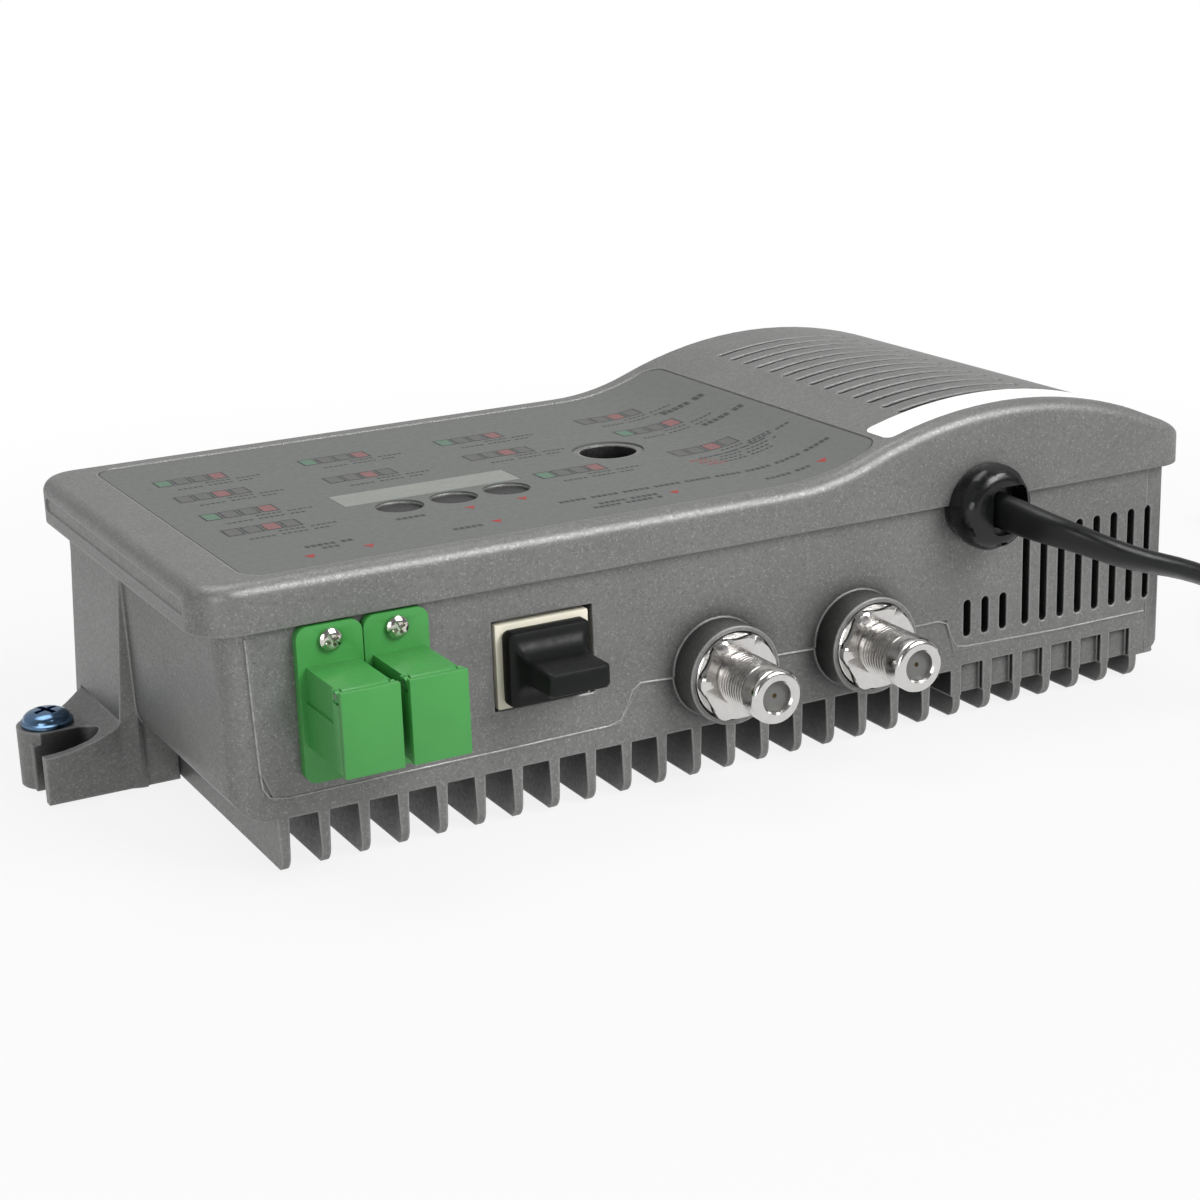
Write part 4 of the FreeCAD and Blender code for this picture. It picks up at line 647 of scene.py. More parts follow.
# Lamps: name, place in millimetres, size in metres and power in watts, all aimed at one place
LAMPS = (("Front light", (600, -1050, 1000), (0.9, 0.9), 27.0),
         ("Top light", (-150, 350, 1300), (1.0, 0.7), 8.0),
         ("Left light", (-950, -850, 350), (0.6, 0.6), 4.5))
LAMPS_AIM = (-10, 40, 25)
FLOOR_RADIUS = 9.0
FLOOR_DROP = 0.2
FLOOR_GREY = 0.5
# Distances in metres over which the floor fades to white, and its share of white at each
FLOOR_FADE = (0.12, 0.34, 0.86, 1.0)
ROOM_LIGHT = 0.42
# Directions along Y over which reflections of the room brighten, and their level at each
ROOM_FADE = (-0.55, 0.35, 0.16, 0.62)


def seen_rays(tree):
    """Gives 1 on camera, glossy and transmission rays, and 0 on the rays that light the object."""
    rays = tree.nodes.new("ShaderNodeLightPath")
    seen = rays.outputs["Is Camera Ray"]
    for kind in ("Is Glossy Ray", "Is Transmission Ray"):
        seen = add_node(tree, "ShaderNodeMath", {0: seen, 1: rays.outputs[kind]},
                        operation="MAXIMUM").outputs["Value"]
    return seen


def light_panel(name, place, size, watts):
    data = bpy.data.lights.new(name, "AREA")
    data.shape = "RECTANGLE"
    data.size, data.size_y = size
    data.energy = watts
    panel = bpy.data.objects.new(name, data)
    bpy.context.scene.collection.objects.link(panel)
    panel.location = spot(*place)
    panel.rotation_mode = "QUATERNION"
    panel.rotation_quaternion = (spot(*LAMPS_AIM) - spot(*place)).to_track_quat("-Z", "Y")


class RECEIVER_OT_stage(bpy.types.Operator):
    """Places the camera where the photo was taken from, on a pale floor in soft light."""
    bl_idname = "receiver.stage"
    bl_label = "Camera, floor and light"

    def execute(self, context):
        data = bpy.data.cameras.new("Photo camera")
        data.sensor_width = 36.0
        data.lens = CAMERA_LENS
        data.clip_start, data.clip_end = 0.01, 50.0
        camera = bpy.data.objects.new("Photo camera", data)
        context.scene.collection.objects.link(camera)
        look = Euler((math.radians(90 - CAMERA_DOWN), 0, math.radians(-CAMERA_RIGHT))).to_matrix()
        look = look @ Matrix.Rotation(math.radians(CAMERA_ROLL), 3, "Z")
        camera.matrix_world = Matrix.Translation(spot(*CAMERA_PLACE)) @ look.to_4x4()
        context.scene.camera = camera
        self.floor(context)
        self.world(context)
        for lamp in LAMPS:
            light_panel(*lamp)
        return {"FINISHED"}

    def floor(self, context):
        """Pale floor that keeps the object's shadow and fades to white around it."""
        mesh = bpy.data.meshes.new("Floor")
        work = bmesh.new()
        bmesh.ops.create_circle(work, cap_ends=True, segments=96, radius=FLOOR_RADIUS)
        work.transform(Matrix.Translation(spot(0, 0, -FLOOR_DROP)))
        work.to_mesh(mesh)
        work.free()
        plain = Finish("Pale floor", (FLOOR_GREY, FLOOR_GREY, FLOOR_GREY), 0.9).set("Specular IOR Level", 0.0)
        tree = plain.tree
        white = add_node(tree, "ShaderNodeEmission", {"Color": WHITE, "Strength": 1.0})
        reach = add_node(tree, "ShaderNodeVectorMath", {0: plain.where}, operation="LENGTH")
        far = spread(tree, reach.outputs["Value"], *FLOOR_FADE, "SMOOTHSTEP")
        share = add_node(tree, "ShaderNodeMath", {0: seen_rays(tree), 1: far}, operation="MULTIPLY")
        mix = add_node(tree, "ShaderNodeMixShader", {
            "Fac": share.outputs["Value"], 1: plain.surface.outputs["BSDF"], 2: white.outputs["Emission"]})
        tree.links.new(mix.outputs["Shader"], tree.nodes["Material Output"].inputs["Surface"])
        mesh.materials.append(plain.material)
        floor = bpy.data.objects.new("Floor", mesh)
        context.scene.collection.objects.link(floor)

    def world(self, context):
        """Room that lights the object evenly, white behind it and darker in reflections from the front."""
        world = bpy.data.worlds.new("Pale room")
        world.use_nodes = True
        tree = world.node_tree
        room = tree.nodes["Background"]
        room.inputs["Color"].default_value = WHITE
        room.inputs["Strength"].default_value = ROOM_LIGHT
        way = tree.nodes.new("ShaderNodeTexCoord").outputs["Generated"]
        parts = add_node(tree, "ShaderNodeSeparateXYZ", {"Vector": way})
        behind = spread(tree, parts.outputs["Y"], *ROOM_FADE, "SMOOTHSTEP")
        rays = tree.nodes.new("ShaderNodeLightPath")
        level = add_node(tree, "ShaderNodeMix", {
            "Factor": rays.outputs["Is Glossy Ray"], "A": 1.0, "B": behind}).outputs["Result"]
        backdrop = add_node(tree, "ShaderNodeBackground", {"Color": WHITE, "Strength": level})
        mix = add_node(tree, "ShaderNodeMixShader", {
            "Fac": seen_rays(tree), 1: room.outputs["Background"], 2: backdrop.outputs["Background"]})
        tree.links.new(mix.outputs["Shader"], tree.nodes["World Output"].inputs["Surface"])
        context.scene.world = world
        context.scene.view_settings.view_transform = "Standard"


# Power cord
CORD_ROUTE = [(49.2, -5.6, 40.4), (49.4, -13.8, 39.9), (52.5, -22.2, 38.6), (60.6, -28.1, 34.7),
              (71.7, -30.2, 31.5), (85.0, -31.0, 25.2), (101.0, -34.9, 18.8), (118.0, -41.5, 13.0),
              (134.0, -47.3, 9.3)]
LEAD_ROUTE = [(186.1, -7.5, 2.75), (186.3, 3.0, 3.6), (185.7, 12.5, 6.85), (185.7, 20.0, 6.85)]
COIL_MIDDLE = (152.0, -15.0)
COIL_OFFSETS = (-5.2, -1.73, 1.73, 5.2)
COIL_LEVELS = (2.75, 8.2)
COIL_STEPS = 16
# Angles in degrees between which each turn shifts to the next one's place in the bundle
COIL_SHIFTS = ((262.0, 340.0),) * 3 + ((196.0, 262.0),) + ((118.0, 196.0),) * 4
# Runs from the exit between which the cord twists on edge, twists back and loses its swelling
TWIST_ON, TWIST_BACK, SWELL_END = (mm(4), mm(46)), (mm(86), mm(122)), (mm(2), mm(22))
CORD_TWIST = 78.0
CORD_SWELL = (0.7, 0.25)
CORD_SIDES = 20


def coil_place(turn, angle):
    """Offset and level in the bundle of a turn at an angle past the coil's start.

    Upper turns shift inward, the innermost drops to the lower row, and lower turns shift outward, each in
    its own part of the ring, so that no two turns meet.
    """
    places = [(offset, COIL_LEVELS[1]) for offset in reversed(COIL_OFFSETS)]
    places += [(offset, COIL_LEVELS[0]) for offset in COIL_OFFSETS]
    here, following = places[turn], places[min(turn + 1, len(places) - 1)]
    share = eased(angle, *COIL_SHIFTS[turn])
    return here[0] + (following[0] - here[0]) * share, here[1] + (following[1] - here[1]) * share


class RECEIVER_OT_power_cord(bpy.types.Operator):
    """Lays the flat cord from its bushing to a put-away coil and on to its plug."""
    bl_idname = "receiver.power_cord"
    bl_label = "Power cord and plug"

    def execute(self, context):
        route = [spot(*p) for p in CORD_ROUTE] + self.coil_points() + [spot(*p) for p in LEAD_ROUTE]
        curve, line = curve_through("Power cord line", "NURBS", route)
        curve.resolution_u = 4
        line.order_u = 3
        line.use_endpoint_u = True
        path = [v.co.copy() for v in mesh_of_curve(curve).vertices]
        cord = self.flat_cord(path)
        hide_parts("power_cord", "cord_coil")
        done(cord, "housing")
        plug = softened("mains_plug", "Mains plug", "jacket", mm(1.1))
        done(plug, "housing")
        pins = softened("plug_pins", "Plug pins", "nickel", mm(0.8), 30.0, 4)
        done(pins, "housing")
        return {"FINISHED"}

    def coil_points(self):
        """Control points of the turns, pushed out so that the smooth line runs at their radius."""
        chosen = sizes()
        last = chosen.coil_turns * COIL_STEPS + COIL_STEPS // 4
        points = []
        for step in range(last + 1):
            angle = 360.0 * step / COIL_STEPS
            offset, level = coil_place(int(angle // 360), angle % 360)
            reach = chosen.coil_radius + mm(offset)
            if 0 < step < last:
                reach = reach / math.cos(math.pi / COIL_STEPS)
            turn = math.radians(angle - 90.0)
            points.append(spot(*COIL_MIDDLE, level) + reach * Vector((math.cos(turn), math.sin(turn), 0)))
        return points

    def flat_cord(self, path):
        """Rounded flat section carried along the path, thicker at its exit and twisted before the coil."""
        chosen = sizes()
        rings, run = [], 0.0
        for i, place in enumerate(path):
            before, after = path[max(i - 1, 0)], path[min(i + 1, len(path) - 1)]
            run += (place - before).length
            ahead = (after - before).normalized()
            side = ahead.cross(Vector((0, 0, 1))).normalized()
            up = side.cross(ahead)
            twist = math.radians(CORD_TWIST) * (eased(run, *TWIST_ON) - eased(run, *TWIST_BACK))
            lean = Matrix.Rotation(twist, 3, ahead)
            side, up = lean @ side, lean @ up
            swell = 1 - eased(run, *SWELL_END)
            half_wide = chosen.cord_width / 2 + mm(CORD_SWELL[0]) * swell
            half_thin = chosen.cord_thickness / 2 + mm(CORD_SWELL[1]) * swell
            ring = []
            for k in range(CORD_SIDES):
                angle = 2 * math.pi * k / CORD_SIDES
                across, rise = half_thin * math.cos(angle), half_thin * math.sin(angle)
                rise += math.copysign(half_wide - half_thin, rise) if abs(rise) > 1e-7 else 0.0
                ring.append(place + side * across + up * rise)
            rings.append(ring)
        return new_piece("Power cord", ringed("Power cord", rings, smooth_angle=60.0), "jacket")


# Castings
RIM_LEVEL = 41.4
BASE_LEFT, BASE_RIGHT = -94.0, 91.6
BASE_FOOT, BASE_WALL = 4.6, 2.2
ON_WALL = 0.05
# The right front corner's middle along X and radius, how far the right end moves out, and from where
BASE_CORNER = (86.6, 5.0)
BASE_WIDER = 2.65
BASE_MOVES_FROM = 87.3
# Pilasters: reach along Y, levels of their feet and tops, and how far they stand out of the wall as
# packed, at the top, and at the foot in times as packed
PILASTER_REACH = (49.0, 81.0)
PILASTER_LEVELS = (13.0, 30.0)
PILASTER_OUT, PILASTER_TOP, PILASTER_FOOT = 2.2, 0.5, 1.5
LID_CORNER = 86.8
LID_WIDER = 3.3
# Left groove of the lid: where its floor is along X and Z, and where it goes
GROOVE_ACROSS, GROOVE_LEVELS, GROOVE_FLOOR = (-97.75, -97.0), (43.6, 46.6), -97.55
# Outlines in the front view of what carries the feet under the base, and their reach along Y
FOOT_WEBS = {
    "Foot web left": [(-94.4, 0.0), (-87.0, 0.0), (-87.0, 10.4), (-89.0, 10.7), (-91.6, 12.3), (-93.3, 14.6),
                      (-94.4, 16.0)],
    "Foot web right": [(94.6, 0.0), (94.6, 9.4), (93.0, 7.2), (90.2, 5.5), (87.0, 5.2), (87.0, 0.0)],
}
FOOT_REACH = (50.0, 74.0)
# Parting line in the front view, just in front of the wall
FLASH_FRONT = -0.2
FLASH_LEFT = [(-90.1, 40.3), (-89.4, 18.6), (-89.1, 15.4), (-88.1, 13.7), (-85.0, 13.1), (-50.0, 13.2),
              (-27.4, 13.4), (-25.2, 14.0), (-23.9, 16.4), (-22.9, 18.8), (-21.2, 19.9), (-14.9, 19.5)]
FLASH_MIDDLE = [(3.0, 19.8), (13.7, 19.4)]
FLASH_RIGHT = [(31.6, 19.6), (40.4, 19.6), (42.2, 18.9), (43.1, 16.2), (44.4, 14.2), (46.5, 13.8),
               (67.2, 13.2), (88.0, 13.2)]


class RECEIVER_OT_castings(bpy.types.Operator):
    """Finishes both castings, with wider right ends, the feet's webs and the parting line of the die."""
    bl_idname = "receiver.castings"
    bl_label = "Base and lid castings"

    def execute(self, context):
        base = self.shifted("base_casting", "Base casting", self.base_place)
        done(base, "housing")
        lid = self.shifted("lid_casting", "Lid casting", self.lid_place)
        done(lid, "housing")
        for name, outline in FOOT_WEBS.items():
            ends = [[spot(x, y, z) for x, z in outline] for y in FOOT_REACH]
            web = new_piece(name, ringed(name, ends), "cast")
            done(web, "housing")
        for name, route in (("Parting line left", FLASH_LEFT), ("Parting line middle", FLASH_MIDDLE),
                            ("Parting line right", FLASH_RIGHT)):
            line = bead(name, [(x, FLASH_FRONT, z) for x, z in route], 0.2, "parting")
            done(line, "housing")
        return {"FINISHED"}

    def shifted(self, node, name, place):
        """Copy of a casting with each point put where place gives, standing for the node."""
        def move(work):
            for v in work.verts:
                x, y, z = (v.co + Vector((mm(FOOTPRINT_MIDDLE[0]), mm(FOOTPRINT_MIDDLE[1]), 0))) * 1000
                v.co = spot(*place(x, y, z))
        piece = new_piece(name, merged_copy(node, move), "cast")
        smooth(piece.data, FACET_ANGLE)
        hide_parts(node)
        return piece

    def base_place(self, x, y, z):
        """Widens the right end by BASE_WIDER with its corner kept round, and tapers both pilasters."""
        middle, radius = BASE_CORNER
        flat = middle + BASE_WIDER
        beside = x < BASE_LEFT - ON_WALL or x > BASE_RIGHT + ON_WALL * 2
        if beside and PILASTER_REACH[0] < y < PILASTER_REACH[1]:
            wall, way = (BASE_LEFT, -1) if x < 0 else (BASE_RIGHT, 1)
            if z > PILASTER_LEVELS[1]:
                x = wall + way * PILASTER_TOP
            elif z < PILASTER_LEVELS[0] and abs(x - wall) < PILASTER_OUT:
                x = wall + (x - wall) * PILASTER_FOOT
        reach = math.hypot(x - middle, radius - y)
        if z > BASE_FOOT and middle < x <= flat and -ON_WALL < y < radius:
            return x, (0.0 if reach > radius - BASE_WALL / 2 else BASE_WALL), z
        if z > BASE_FOOT and x > flat and 0 <= y < radius:
            first = math.asin(BASE_WIDER / radius)
            turn = (math.atan2(x - middle, radius - y) - first) / (math.pi / 2 - first) * math.pi / 2
            return flat + reach * math.sin(turn), radius - reach * math.cos(turn), z
        on_field = y <= -ON_WALL and x <= flat
        return (x + BASE_WIDER if x > BASE_MOVES_FROM and not on_field else x), y, z

    def lid_place(self, x, y, z):
        """Widens the right end by LID_WIDER along the hump's arc, and fills the left groove to a trace."""
        if GROOVE_ACROSS[0] < x < GROOVE_ACROSS[1] and GROOVE_LEVELS[0] < z < GROOVE_LEVELS[1]:
            return GROOVE_FLOOR, y, z
        if x < LID_CORNER:
            return x, y, z
        share = min(1.0, max(0.0, (z - RIM_LEVEL) / (lid_level(x) - RIM_LEVEL)))
        return x + LID_WIDER, y, z + share * (lid_level(x + LID_WIDER) - lid_level(x))


# Film, print and label
GROUP_SPOTS = [(-81.7, 66.9), (-82.0, 54.2), (-82.2, 40.1), (-82.4, 28.7), (-54.2, 66.6), (-55.2, 51.7),
               (-27.2, 65.8), (-27.6, 52.1), (-22.8, 32.6), (2.6, 65.5), (4.2, 52.5), (4.8, 32.8)]
GROUP_INKS = (("faded_green", "faded_grey", "faded_grey", "faded_red"),
              ("faded_grey", "faded_grey", "faded_red", "faded_grey"))
# Each group's frames: distance from one to the next, width, height and stroke
FRAME_STEP, FRAME_WIDE, FRAME_TALL, FRAME_STROKE = 3.35, 3.1, 4.5, 0.35
MARKER_SPOTS = [(-75.3, 7.9), (-65.1, 8.1), (-41.6, 20.1), (-31.6, 20.4), (-41.6, 9.7), (-8.2, 9.0),
                (20.6, 7.1)]
MARKER_CORNERS = ((-1.0, 0.9), (0.0, -0.9), (1.0, 0.9))
# Rows of small dashes where the film has print: left, right, middle along Y, height
DASH_ROWS = [(-27.9, 26.6, 14.3, 1.1), (-74.2, -65.7, 13.4, 1.2), (-72.0, -68.8, 11.4, 1.0),
             (-55.2, -48.7, 20.4, 1.2), (-49.9, -44.1, 9.2, 1.2), (-22.6, -10.5, 9.9, 1.1),
             (-24.6, -10.5, 8.0, 1.1), (9.0, 18.6, 7.6, 1.1), (17.4, 27.5, 58.6, 1.9),
             (18.5, 27.2, 45.0, 1.6), (18.2, 27.6, 28.2, 0.8), (10.5, 21.5, 27.2, 0.6),
             (10.5, 22.5, 25.6, 0.6), (9.6, 20.0, 24.0, 0.6), (9.6, 21.0, 22.4, 0.6)]
RED_ROWS = [(4.6, 8.8, 26.2, 0.7), (5.5, 9.7, 24.3, 0.7), (6.4, 10.6, 22.4, 0.7)]


class RECEIVER_OT_film(bpy.types.Operator):
    """Finishes the film and bare label, and lays generic ink marks where the film is printed."""
    bl_idname = "receiver.film"
    bl_label = "Overlay film and label"

    def execute(self, context):
        paint("overlay_film", "film")
        paint("bare_label", "paper")
        inks = {"faded_green": [], "faded_grey": [], "faded_red": [], "ink_dark": [], "ink_red": []}
        inset = FRAME_TALL / 2 - FRAME_STROKE
        for index, (x, y) in enumerate(GROUP_SPOTS):
            for place, ink in enumerate(GROUP_INKS[index % 2]):
                left = x + FRAME_STEP * place
                inks[ink].append(print_patch(left + FRAME_STROKE, left + (FRAME_WIDE - FRAME_STROKE),
                                             y - inset, y + inset))
                inks["ink_dark"] += self.open_frame(left, y)
            inks["ink_dark"] += self.dashes(x + 8.2, x + 19.0, y - 3.6, 0.6)
            inks["ink_dark"] += self.dashes(x + 2.4, x + 17.2, y - 5.6, 0.6)
        for ink, rows in (("ink_dark", DASH_ROWS), ("ink_red", RED_ROWS)):
            for row in rows:
                inks[ink] += self.dashes(*row)
        for ink, patches in inks.items():
            printed("Print " + ink, patches, ink)
        markers = [([spot(x + dx, y + dy, ink_level(x + dx)) for dx, dy in MARKER_CORNERS], [(0, 1, 2)])
                   for x, y in MARKER_SPOTS]
        printed("Port markers", markers, "ink_signal")
        return {"FINISHED"}

    def open_frame(self, x, y):
        """Four strokes around an empty rectangle, with its left edge at x and its middle at y."""
        right, stroke = x + FRAME_WIDE, FRAME_STROKE
        low, high = y - FRAME_TALL / 2, y + FRAME_TALL / 2
        return [print_patch(x, right, low, low + stroke), print_patch(x, right, high - stroke, high),
                print_patch(x, x + stroke, low + stroke, high - stroke),
                print_patch(right - stroke, right, low + stroke, high - stroke)]

    def dashes(self, left, right, y, tall):
        """Row of small plain blocks from left to right, with a wider gap after every fifth."""
        wide = 0.55 + 0.2 * tall
        made, x, count = [], left, 0
        while x + wide <= right:
            made.append(print_patch(x, x + wide, y - tall / 2, y + tall / 2))
            count += 1
            x += wide + (0.3 if count % 5 else 1.1)
        return made


# Buttons and display
class RECEIVER_OT_controls(bpy.types.Operator):
    """Rounds the three buttons and finishes the display."""
    bl_idname = "receiver.controls"
    bl_label = "Buttons and display"

    def execute(self, context):
        for i in range(1, 4):
            node = "button_%d" % i
            cap = softened(node, "Button %d" % i, "button", mm(0.3), 30.0, 3)
            done(cap, node + "_body")
        paint("display_window", "window")
        paint("display_module", "black_satin")
        return {"FINISHED"}


# Optical adapters
ADAPTER_FIRST, ADAPTER_PITCH = -77.0, 11.3
FLANGE_FACE = -2.05
# Steps behind the left adapter's front cap: upper and lower left side, and the top
ADAPTER_STEPS = [((-83.0, -13.5, 28.7), (-81.2, FLANGE_FACE, 36.0)),
                 ((-83.0, -13.3, 20.0), (-81.5, FLANGE_FACE, 28.7)),
                 ((-83.0, -14.7, 34.5), (-71.0, FLANGE_FACE, 36.0))]
# A pan head with its stem: distance and radius at each station, then its cross recess
ADAPTER_SCREW_LEVEL = 38.5
ADAPTER_SCREW = [(-5.9, 0.9), (0.0, 0.9), (0.0, 1.75), (0.25, 1.9), (0.7, 1.85), (1.05, 1.45), (1.2, 0.9)]
ADAPTER_SCREW_RECESS = (1.2, 0.75, 2.2, 0.55, 0.5)


class RECEIVER_OT_adapters(bpy.types.Operator):
    """Rounds the green adapters and shutters, with the steps behind their front caps."""
    bl_idname = "receiver.adapters"
    bl_label = "Optical adapters"

    def execute(self, context):
        for side, shift in (("left", 0.0), ("right", ADAPTER_PITCH)):
            body = softened("optical_adapter_" + side, "Optical adapter " + side, "green", mm(0.3))
            for low, high in ADAPTER_STEPS:
                step = brick("Adapter step", (low[0] + shift, *low[1:]), (high[0] + shift, *high[1:]), None)
                body = carved(body, step)
            done(body, "housing")
            flap = softened("shutter_" + side, "Shutter " + side, "green", mm(0.35))
            done(flap, "shutter_%s_body" % side)
        paint("shutter_pins", "steel")
        paint("alignment_sleeves", "ceramic")
        paint("inner_fibre_plugs", "green")
        for side, shift in (("left", 0.0), ("right", ADAPTER_PITCH)):
            base = (ADAPTER_FIRST + shift, FLANGE_FACE, ADAPTER_SCREW_LEVEL)
            head = turned("Adapter screw " + side, base, "front", ADAPTER_SCREW, "bright", 48)
            head = carved(head, cross_cutter(base, "front", *ADAPTER_SCREW_RECESS))
            done(head, "housing")
        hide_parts("adapter_screws")
        return {"FINISHED"}


# Network jack and dust plug
PLUG_ACROSS = -39.2
# Sections of the dust plug: place along Y, level, width, height and corner radius
PLUG_SECTIONS = [(5.3, 27.6, 10.5, 6.2, 0.6), (4.7, 27.6, 11.5, 7.2, 0.6), (-0.3, 27.6, 11.5, 7.2, 0.6),
                 (-0.3, 27.35, 14.6, 12.3, 1.0), (-0.6, 27.35, 15.2, 12.9, 1.2),
                 (-2.2, 27.35, 15.2, 12.9, 1.2), (-2.75, 27.35, 14.7, 12.4, 1.2),
                 (-2.9, 27.35, 14.0, 11.6, 1.1)]
TAB_SECTIONS = [(-12.6, 27.4, 11.3, 4.3, 0.9), (-13.2, 27.4, 10.7, 3.7, 0.8), (-13.4, 27.4, 9.8, 2.8, 0.6)]
FLARE_REACH = 3.8
FLARE_STEPS = 8


class RECEIVER_OT_network(bpy.types.Operator):
    """Rounds the jack and flares the dust plug's flange into its pull tab."""
    bl_idname = "receiver.network"
    bl_label = "Network jack and dust plug"

    def execute(self, context):
        jack = softened("network_jack", "Network jack", "ivory", mm(0.3))
        done(jack, "housing")
        paint("jack_contacts", "gold")
        flange, tab = PLUG_SECTIONS[-1], TAB_SECTIONS[0]
        flare = []
        for i in range(1, FLARE_STEPS + 1):
            turn = math.pi / 2 * i / FLARE_STEPS
            size = [a + (b - a) * math.sin(turn) for a, b in zip(flange[1:4], tab[1:4])]
            flare.append((flange[0] - FLARE_REACH * (1 - math.cos(turn)), *size, tab[4]))
        rings = [rounded_ring(PLUG_ACROSS, *section) for section in PLUG_SECTIONS + flare + TAB_SECTIONS]
        plug = new_piece("Dust plug", ringed("Dust plug", rings, smooth_angle=38.0), "black_satin")
        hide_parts("dust_plug")
        done(plug, "dust_plug_body")
        return {"FINISHED"}


# Coaxial connectors: distance in front of the wall and radius, and true where the hexagon's flats cut
COAX_LEVEL = 19.9
COAX_BODY = [(-6.4, 2.65), (-6.5, 2.9), (-6.5, 4.5), (-6.2, 4.76), (4.7, 4.76), (4.7, 7.4), (4.9, 7.6),
             (5.9, 7.6), (6.1, 7.4), (6.1, 4.45), (15.65, 4.45), (15.8, 4.72), (18.6, 4.76), (19.1, 4.6),
             (19.4, 4.25), (19.5, 3.9), (19.5, 2.95), (19.2, 2.65), (17.0, 2.65), (17.0, 0.6), (16.0, 0.45)]
COAX_HEXAGON = [(6.1, 7.3, True), (6.35, 7.75, True), (7.65, 7.75, True), (8.0, 7.1, True), (8.0, 4.3)]
COAX_FLATS = 14.0
COAX_THREAD = [(8.45, 4.35), (8.67, 4.35), (8.8, 4.74), (8.9, 4.74), (9.03, 4.35), (9.24, 4.35)]
COAX_THREADS = 9


class RECEIVER_OT_coax(bpy.types.Operator):
    """Turns each connector with its hexagon, threads, chamfered tip and bored mouth."""
    bl_idname = "receiver.coax"
    bl_label = "Coaxial connectors"

    def execute(self, context):
        for side, across in (("left", -5.96), ("right", 22.61)):
            base = (across, 0.0, COAX_LEVEL)
            body = turned("Coax body " + side, base, "front", COAX_BODY, "nickel", 72)
            nut = turned("Coax hexagon " + side, base, "front", COAX_HEXAGON, "nickel", 144, COAX_FLATS, 30.0)
            done(body, "housing")
            done(nut, "housing")
            ridge = turned("Coax thread " + side, base, "front", COAX_THREAD, "nickel", 64)
            threads = repeated("Coax threads " + side, ridge.data, COAX_THREADS,
                               (0.0, -sizes().thread_pitch, 0.0), "nickel")
            bpy.data.objects.remove(ridge)
            done(threads, "housing")
            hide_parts("coax_connector_" + side)
        paint("coax_insulators", "insulator")
        paint("coax_centre_pins", "gold")
        paint("coax_lock_nuts", "nickel")
        return {"FINISHED"}


# Screws and bushing
# Node, name, seat, stations, cross recess, finish and slot
SCREWS = [
    ("ground_screw", "Ground screw", (-106.4, 62.6, 10.5),
     [(-9.0, 1.6), (-8.6, 2.0), (0.0, 2.0), (0.0, 4.45), (0.15, 4.6), (0.75, 4.6), (0.95, 4.2), (1.5, 4.05),
      (2.0, 3.6), (2.4, 2.8), (2.6, 1.8)], (2.6, 1.3, 4.6, 1.0, 0.4), "zinc", "blue_zinc"),
    ("lid_screw", "Lid screw", (-3.2, 42.7, 38.4),
     [(-11.5, 1.5), (-11.0, 1.9), (0.0, 1.9), (0.0, 3.6), (0.3, 3.8), (1.2, 3.75), (2.0, 3.1), (2.5, 2.2)],
     (2.5, 1.3, 4.2, 0.9, 0.9), "steel", "steel"),
]
BUSHING_SEAT = (47.9, 0.0, 40.6)
BUSHING_HEAD = [(-2.6, 5.6), (-2.3, 6.1), (0.05, 6.1), (0.1, 6.5), (1.9, 6.7), (2.2, 7.7), (2.8, 7.85),
                (4.6, 7.85), (5.8, 7.5, True), (6.9, 6.7, True), (7.4, 5.8, True), (7.5, 5.2, True)]
BUSHING_FLATS = 14.2
# Narrowing along X inside the wall, and narrowing and shift of the head in front of it
BUSHING_STEM, BUSHING_NARROW, BUSHING_SHIFT = 0.865, 0.97, 0.9
# Cord's mouth: middle along X, place along Y, level, width, height and corner radius
BUSHING_MOUTH = [(50.7, -9.0, 40.4, 8.4, 9.4, 2.0), (50.5, -6.4, 40.4, 7.2, 8.4, 1.6),
                 (50.2, -4.0, 40.4, 6.6, 7.8, 1.4)]
BUSHING_NOTCH = ((47.9, -9.0, 31.0), (50.1, -5.9, 34.6))


class RECEIVER_OT_fasteners(bpy.types.Operator):
    """Cuts cross recesses in the screws' heads and makes the cord bushing."""
    bl_idname = "receiver.fasteners"
    bl_label = "Screws and cord bushing"

    def execute(self, context):
        for node, name, base, stations, recess, material, slot in SCREWS:
            screw = turned(name, base, "up", stations, material, 64)
            screw = carved(screw, cross_cutter(base, "up", *recess))
            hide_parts(node)
            done(screw, "housing")
        self.bushing()
        return {"FINISHED"}

    def bushing(self):
        """Round head with a flat faceted front around the cord's mouth, and a notch below."""
        head = turned("Cord bushing", BUSHING_SEAT, "front", BUSHING_HEAD, "black_gloss", 96, BUSHING_FLATS,
                      24.0)
        middle = spot(*BUSHING_SEAT).x
        for v in head.data.vertices:
            if v.co.y > spot(0, -0.08, 0).y:
                v.co.x = middle + (v.co.x - middle) * BUSHING_STEM
            elif v.co.y < spot(0, -2.0, 0).y:
                v.co.x = middle + (v.co.x - middle) * BUSHING_NARROW + mm(BUSHING_SHIFT)
        mouth = ringed("Bushing mouth", [rounded_ring(*section) for section in BUSHING_MOUTH])
        head = carved(head, new_piece("Bushing mouth", mouth, None))
        head = carved(head, brick("Bushing notch", *BUSHING_NOTCH, None))
        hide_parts("cord_bushing")
        done(head, "housing")


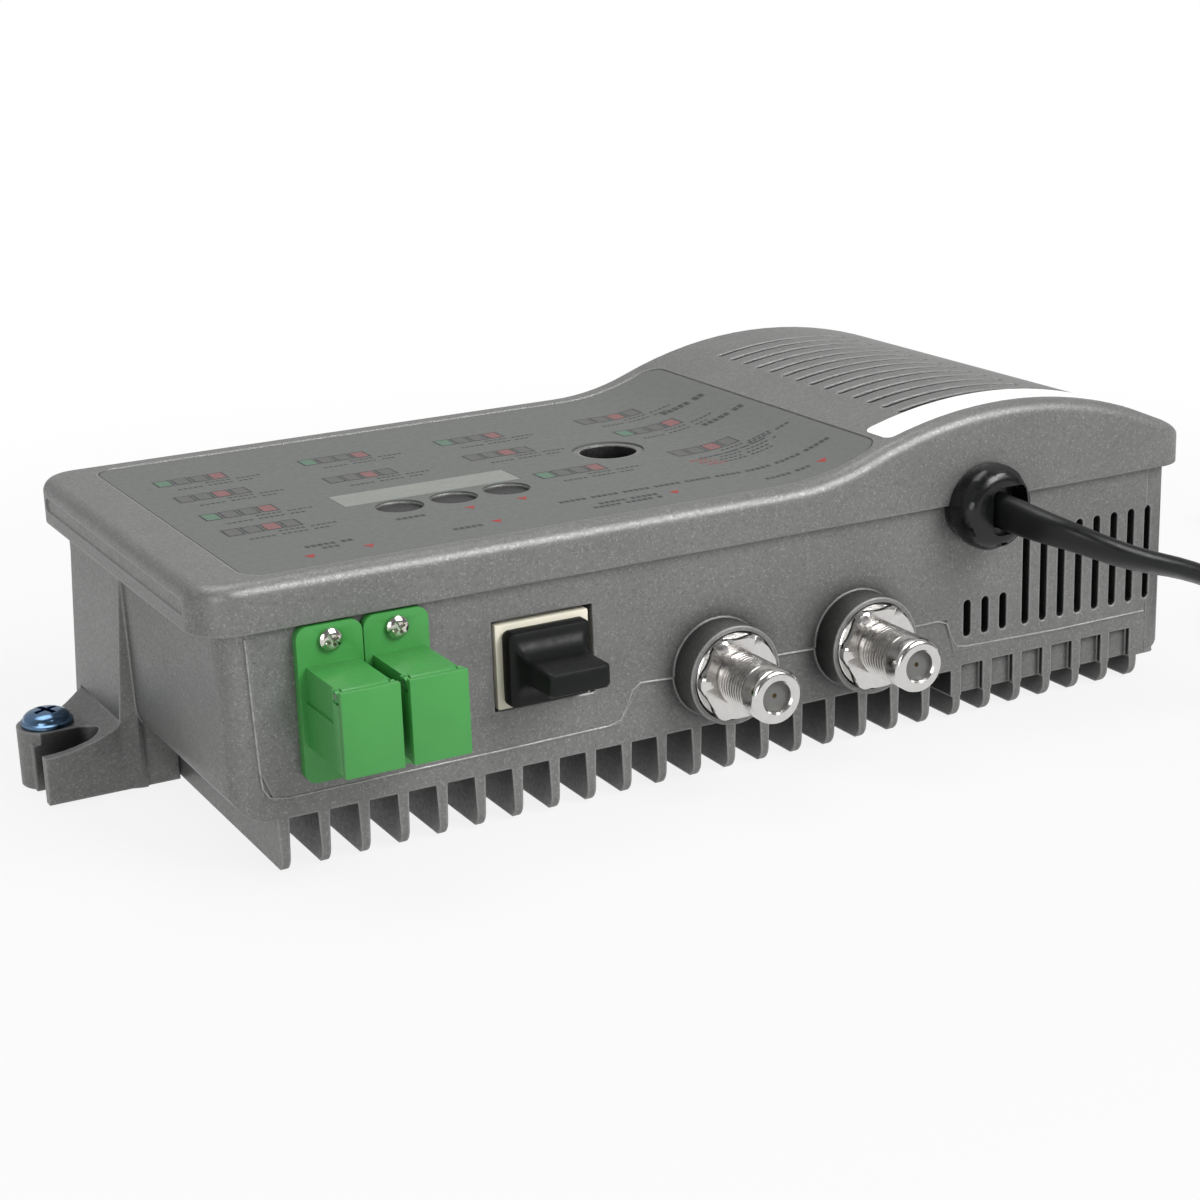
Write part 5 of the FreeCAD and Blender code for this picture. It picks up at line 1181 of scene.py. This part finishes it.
# Pieces inside the castings
INNER_FINISHES = {
    "main_board": "board", "supply_board": "board", "control_board": "board", "board_screws": "steel",
    "control_pillars": "brass", "header_pins": "gold", "tact_switches": "chip", "photodiode_module": "steel",
    "wavelength_filter": "steel", "shield_can": "tin", "amplifier_chips": "chip",
    "board_capacitors": "sleeve", "supply_capacitors": "sleeve", "filter_coils": "sleeve",
    "fibre_coil": "fibre", "fibre_pigtails": "fibre", "mains_terminal": "terminal", "mains_wires": "blue",
    "fuse": "glass", "fuse_clips": "tin", "safety_capacitor": "yellow", "line_choke": "chip",
    "transformer_base": "chip", "transformer_core": "ferrite", "transformer_winding": "yellow",
    "supply_heatsink": "plate", "switch_transistor": "chip",
}


class RECEIVER_OT_inner(bpy.types.Operator):
    """Finishes the boards and electronic parts inside the castings."""
    bl_idname = "receiver.inner"
    bl_label = "Inner pieces"

    def execute(self, context):
        for node, name in INNER_FINISHES.items():
            paint(node, name)
        return {"FINISHED"}


OPERATORS = (RECEIVER_OT_stage, RECEIVER_OT_power_cord, RECEIVER_OT_castings, RECEIVER_OT_film,
             RECEIVER_OT_controls, RECEIVER_OT_adapters, RECEIVER_OT_network, RECEIVER_OT_coax,
             RECEIVER_OT_fasteners, RECEIVER_OT_inner)


class RECEIVER_PT_panel(bpy.types.Panel):
    bl_idname = "RECEIVER_PT_panel"
    bl_label = "Optical receiver"
    bl_space_type = "VIEW_3D"
    bl_region_type = "UI"
    bl_category = "Receiver"

    def draw(self, context):
        """Lists the sizes, colours and steps."""
        for group in (sizes(), colours()):
            for key in group.__annotations__:
                self.layout.prop(group, key)
        for operator in OPERATORS:
            self.layout.operator(operator.bl_idname)


CLASSES = (ReceiverSizes, ReceiverColours, *OPERATORS, RECEIVER_PT_panel)


def register():
    for item in CLASSES:
        bpy.utils.register_class(item)
    bpy.types.Scene.receiver_sizes = PointerProperty(type=ReceiverSizes)
    bpy.types.Scene.receiver_colours = PointerProperty(type=ReceiverColours)


def unregister():
    del bpy.types.Scene.receiver_colours
    del bpy.types.Scene.receiver_sizes
    for item in reversed(CLASSES):
        bpy.utils.unregister_class(item)


def main():
    register()
    for operator in OPERATORS:
        group, name = operator.bl_idname.split(".")
        getattr(getattr(bpy.ops, group), name)()


if __name__ == "__main__":
    main()
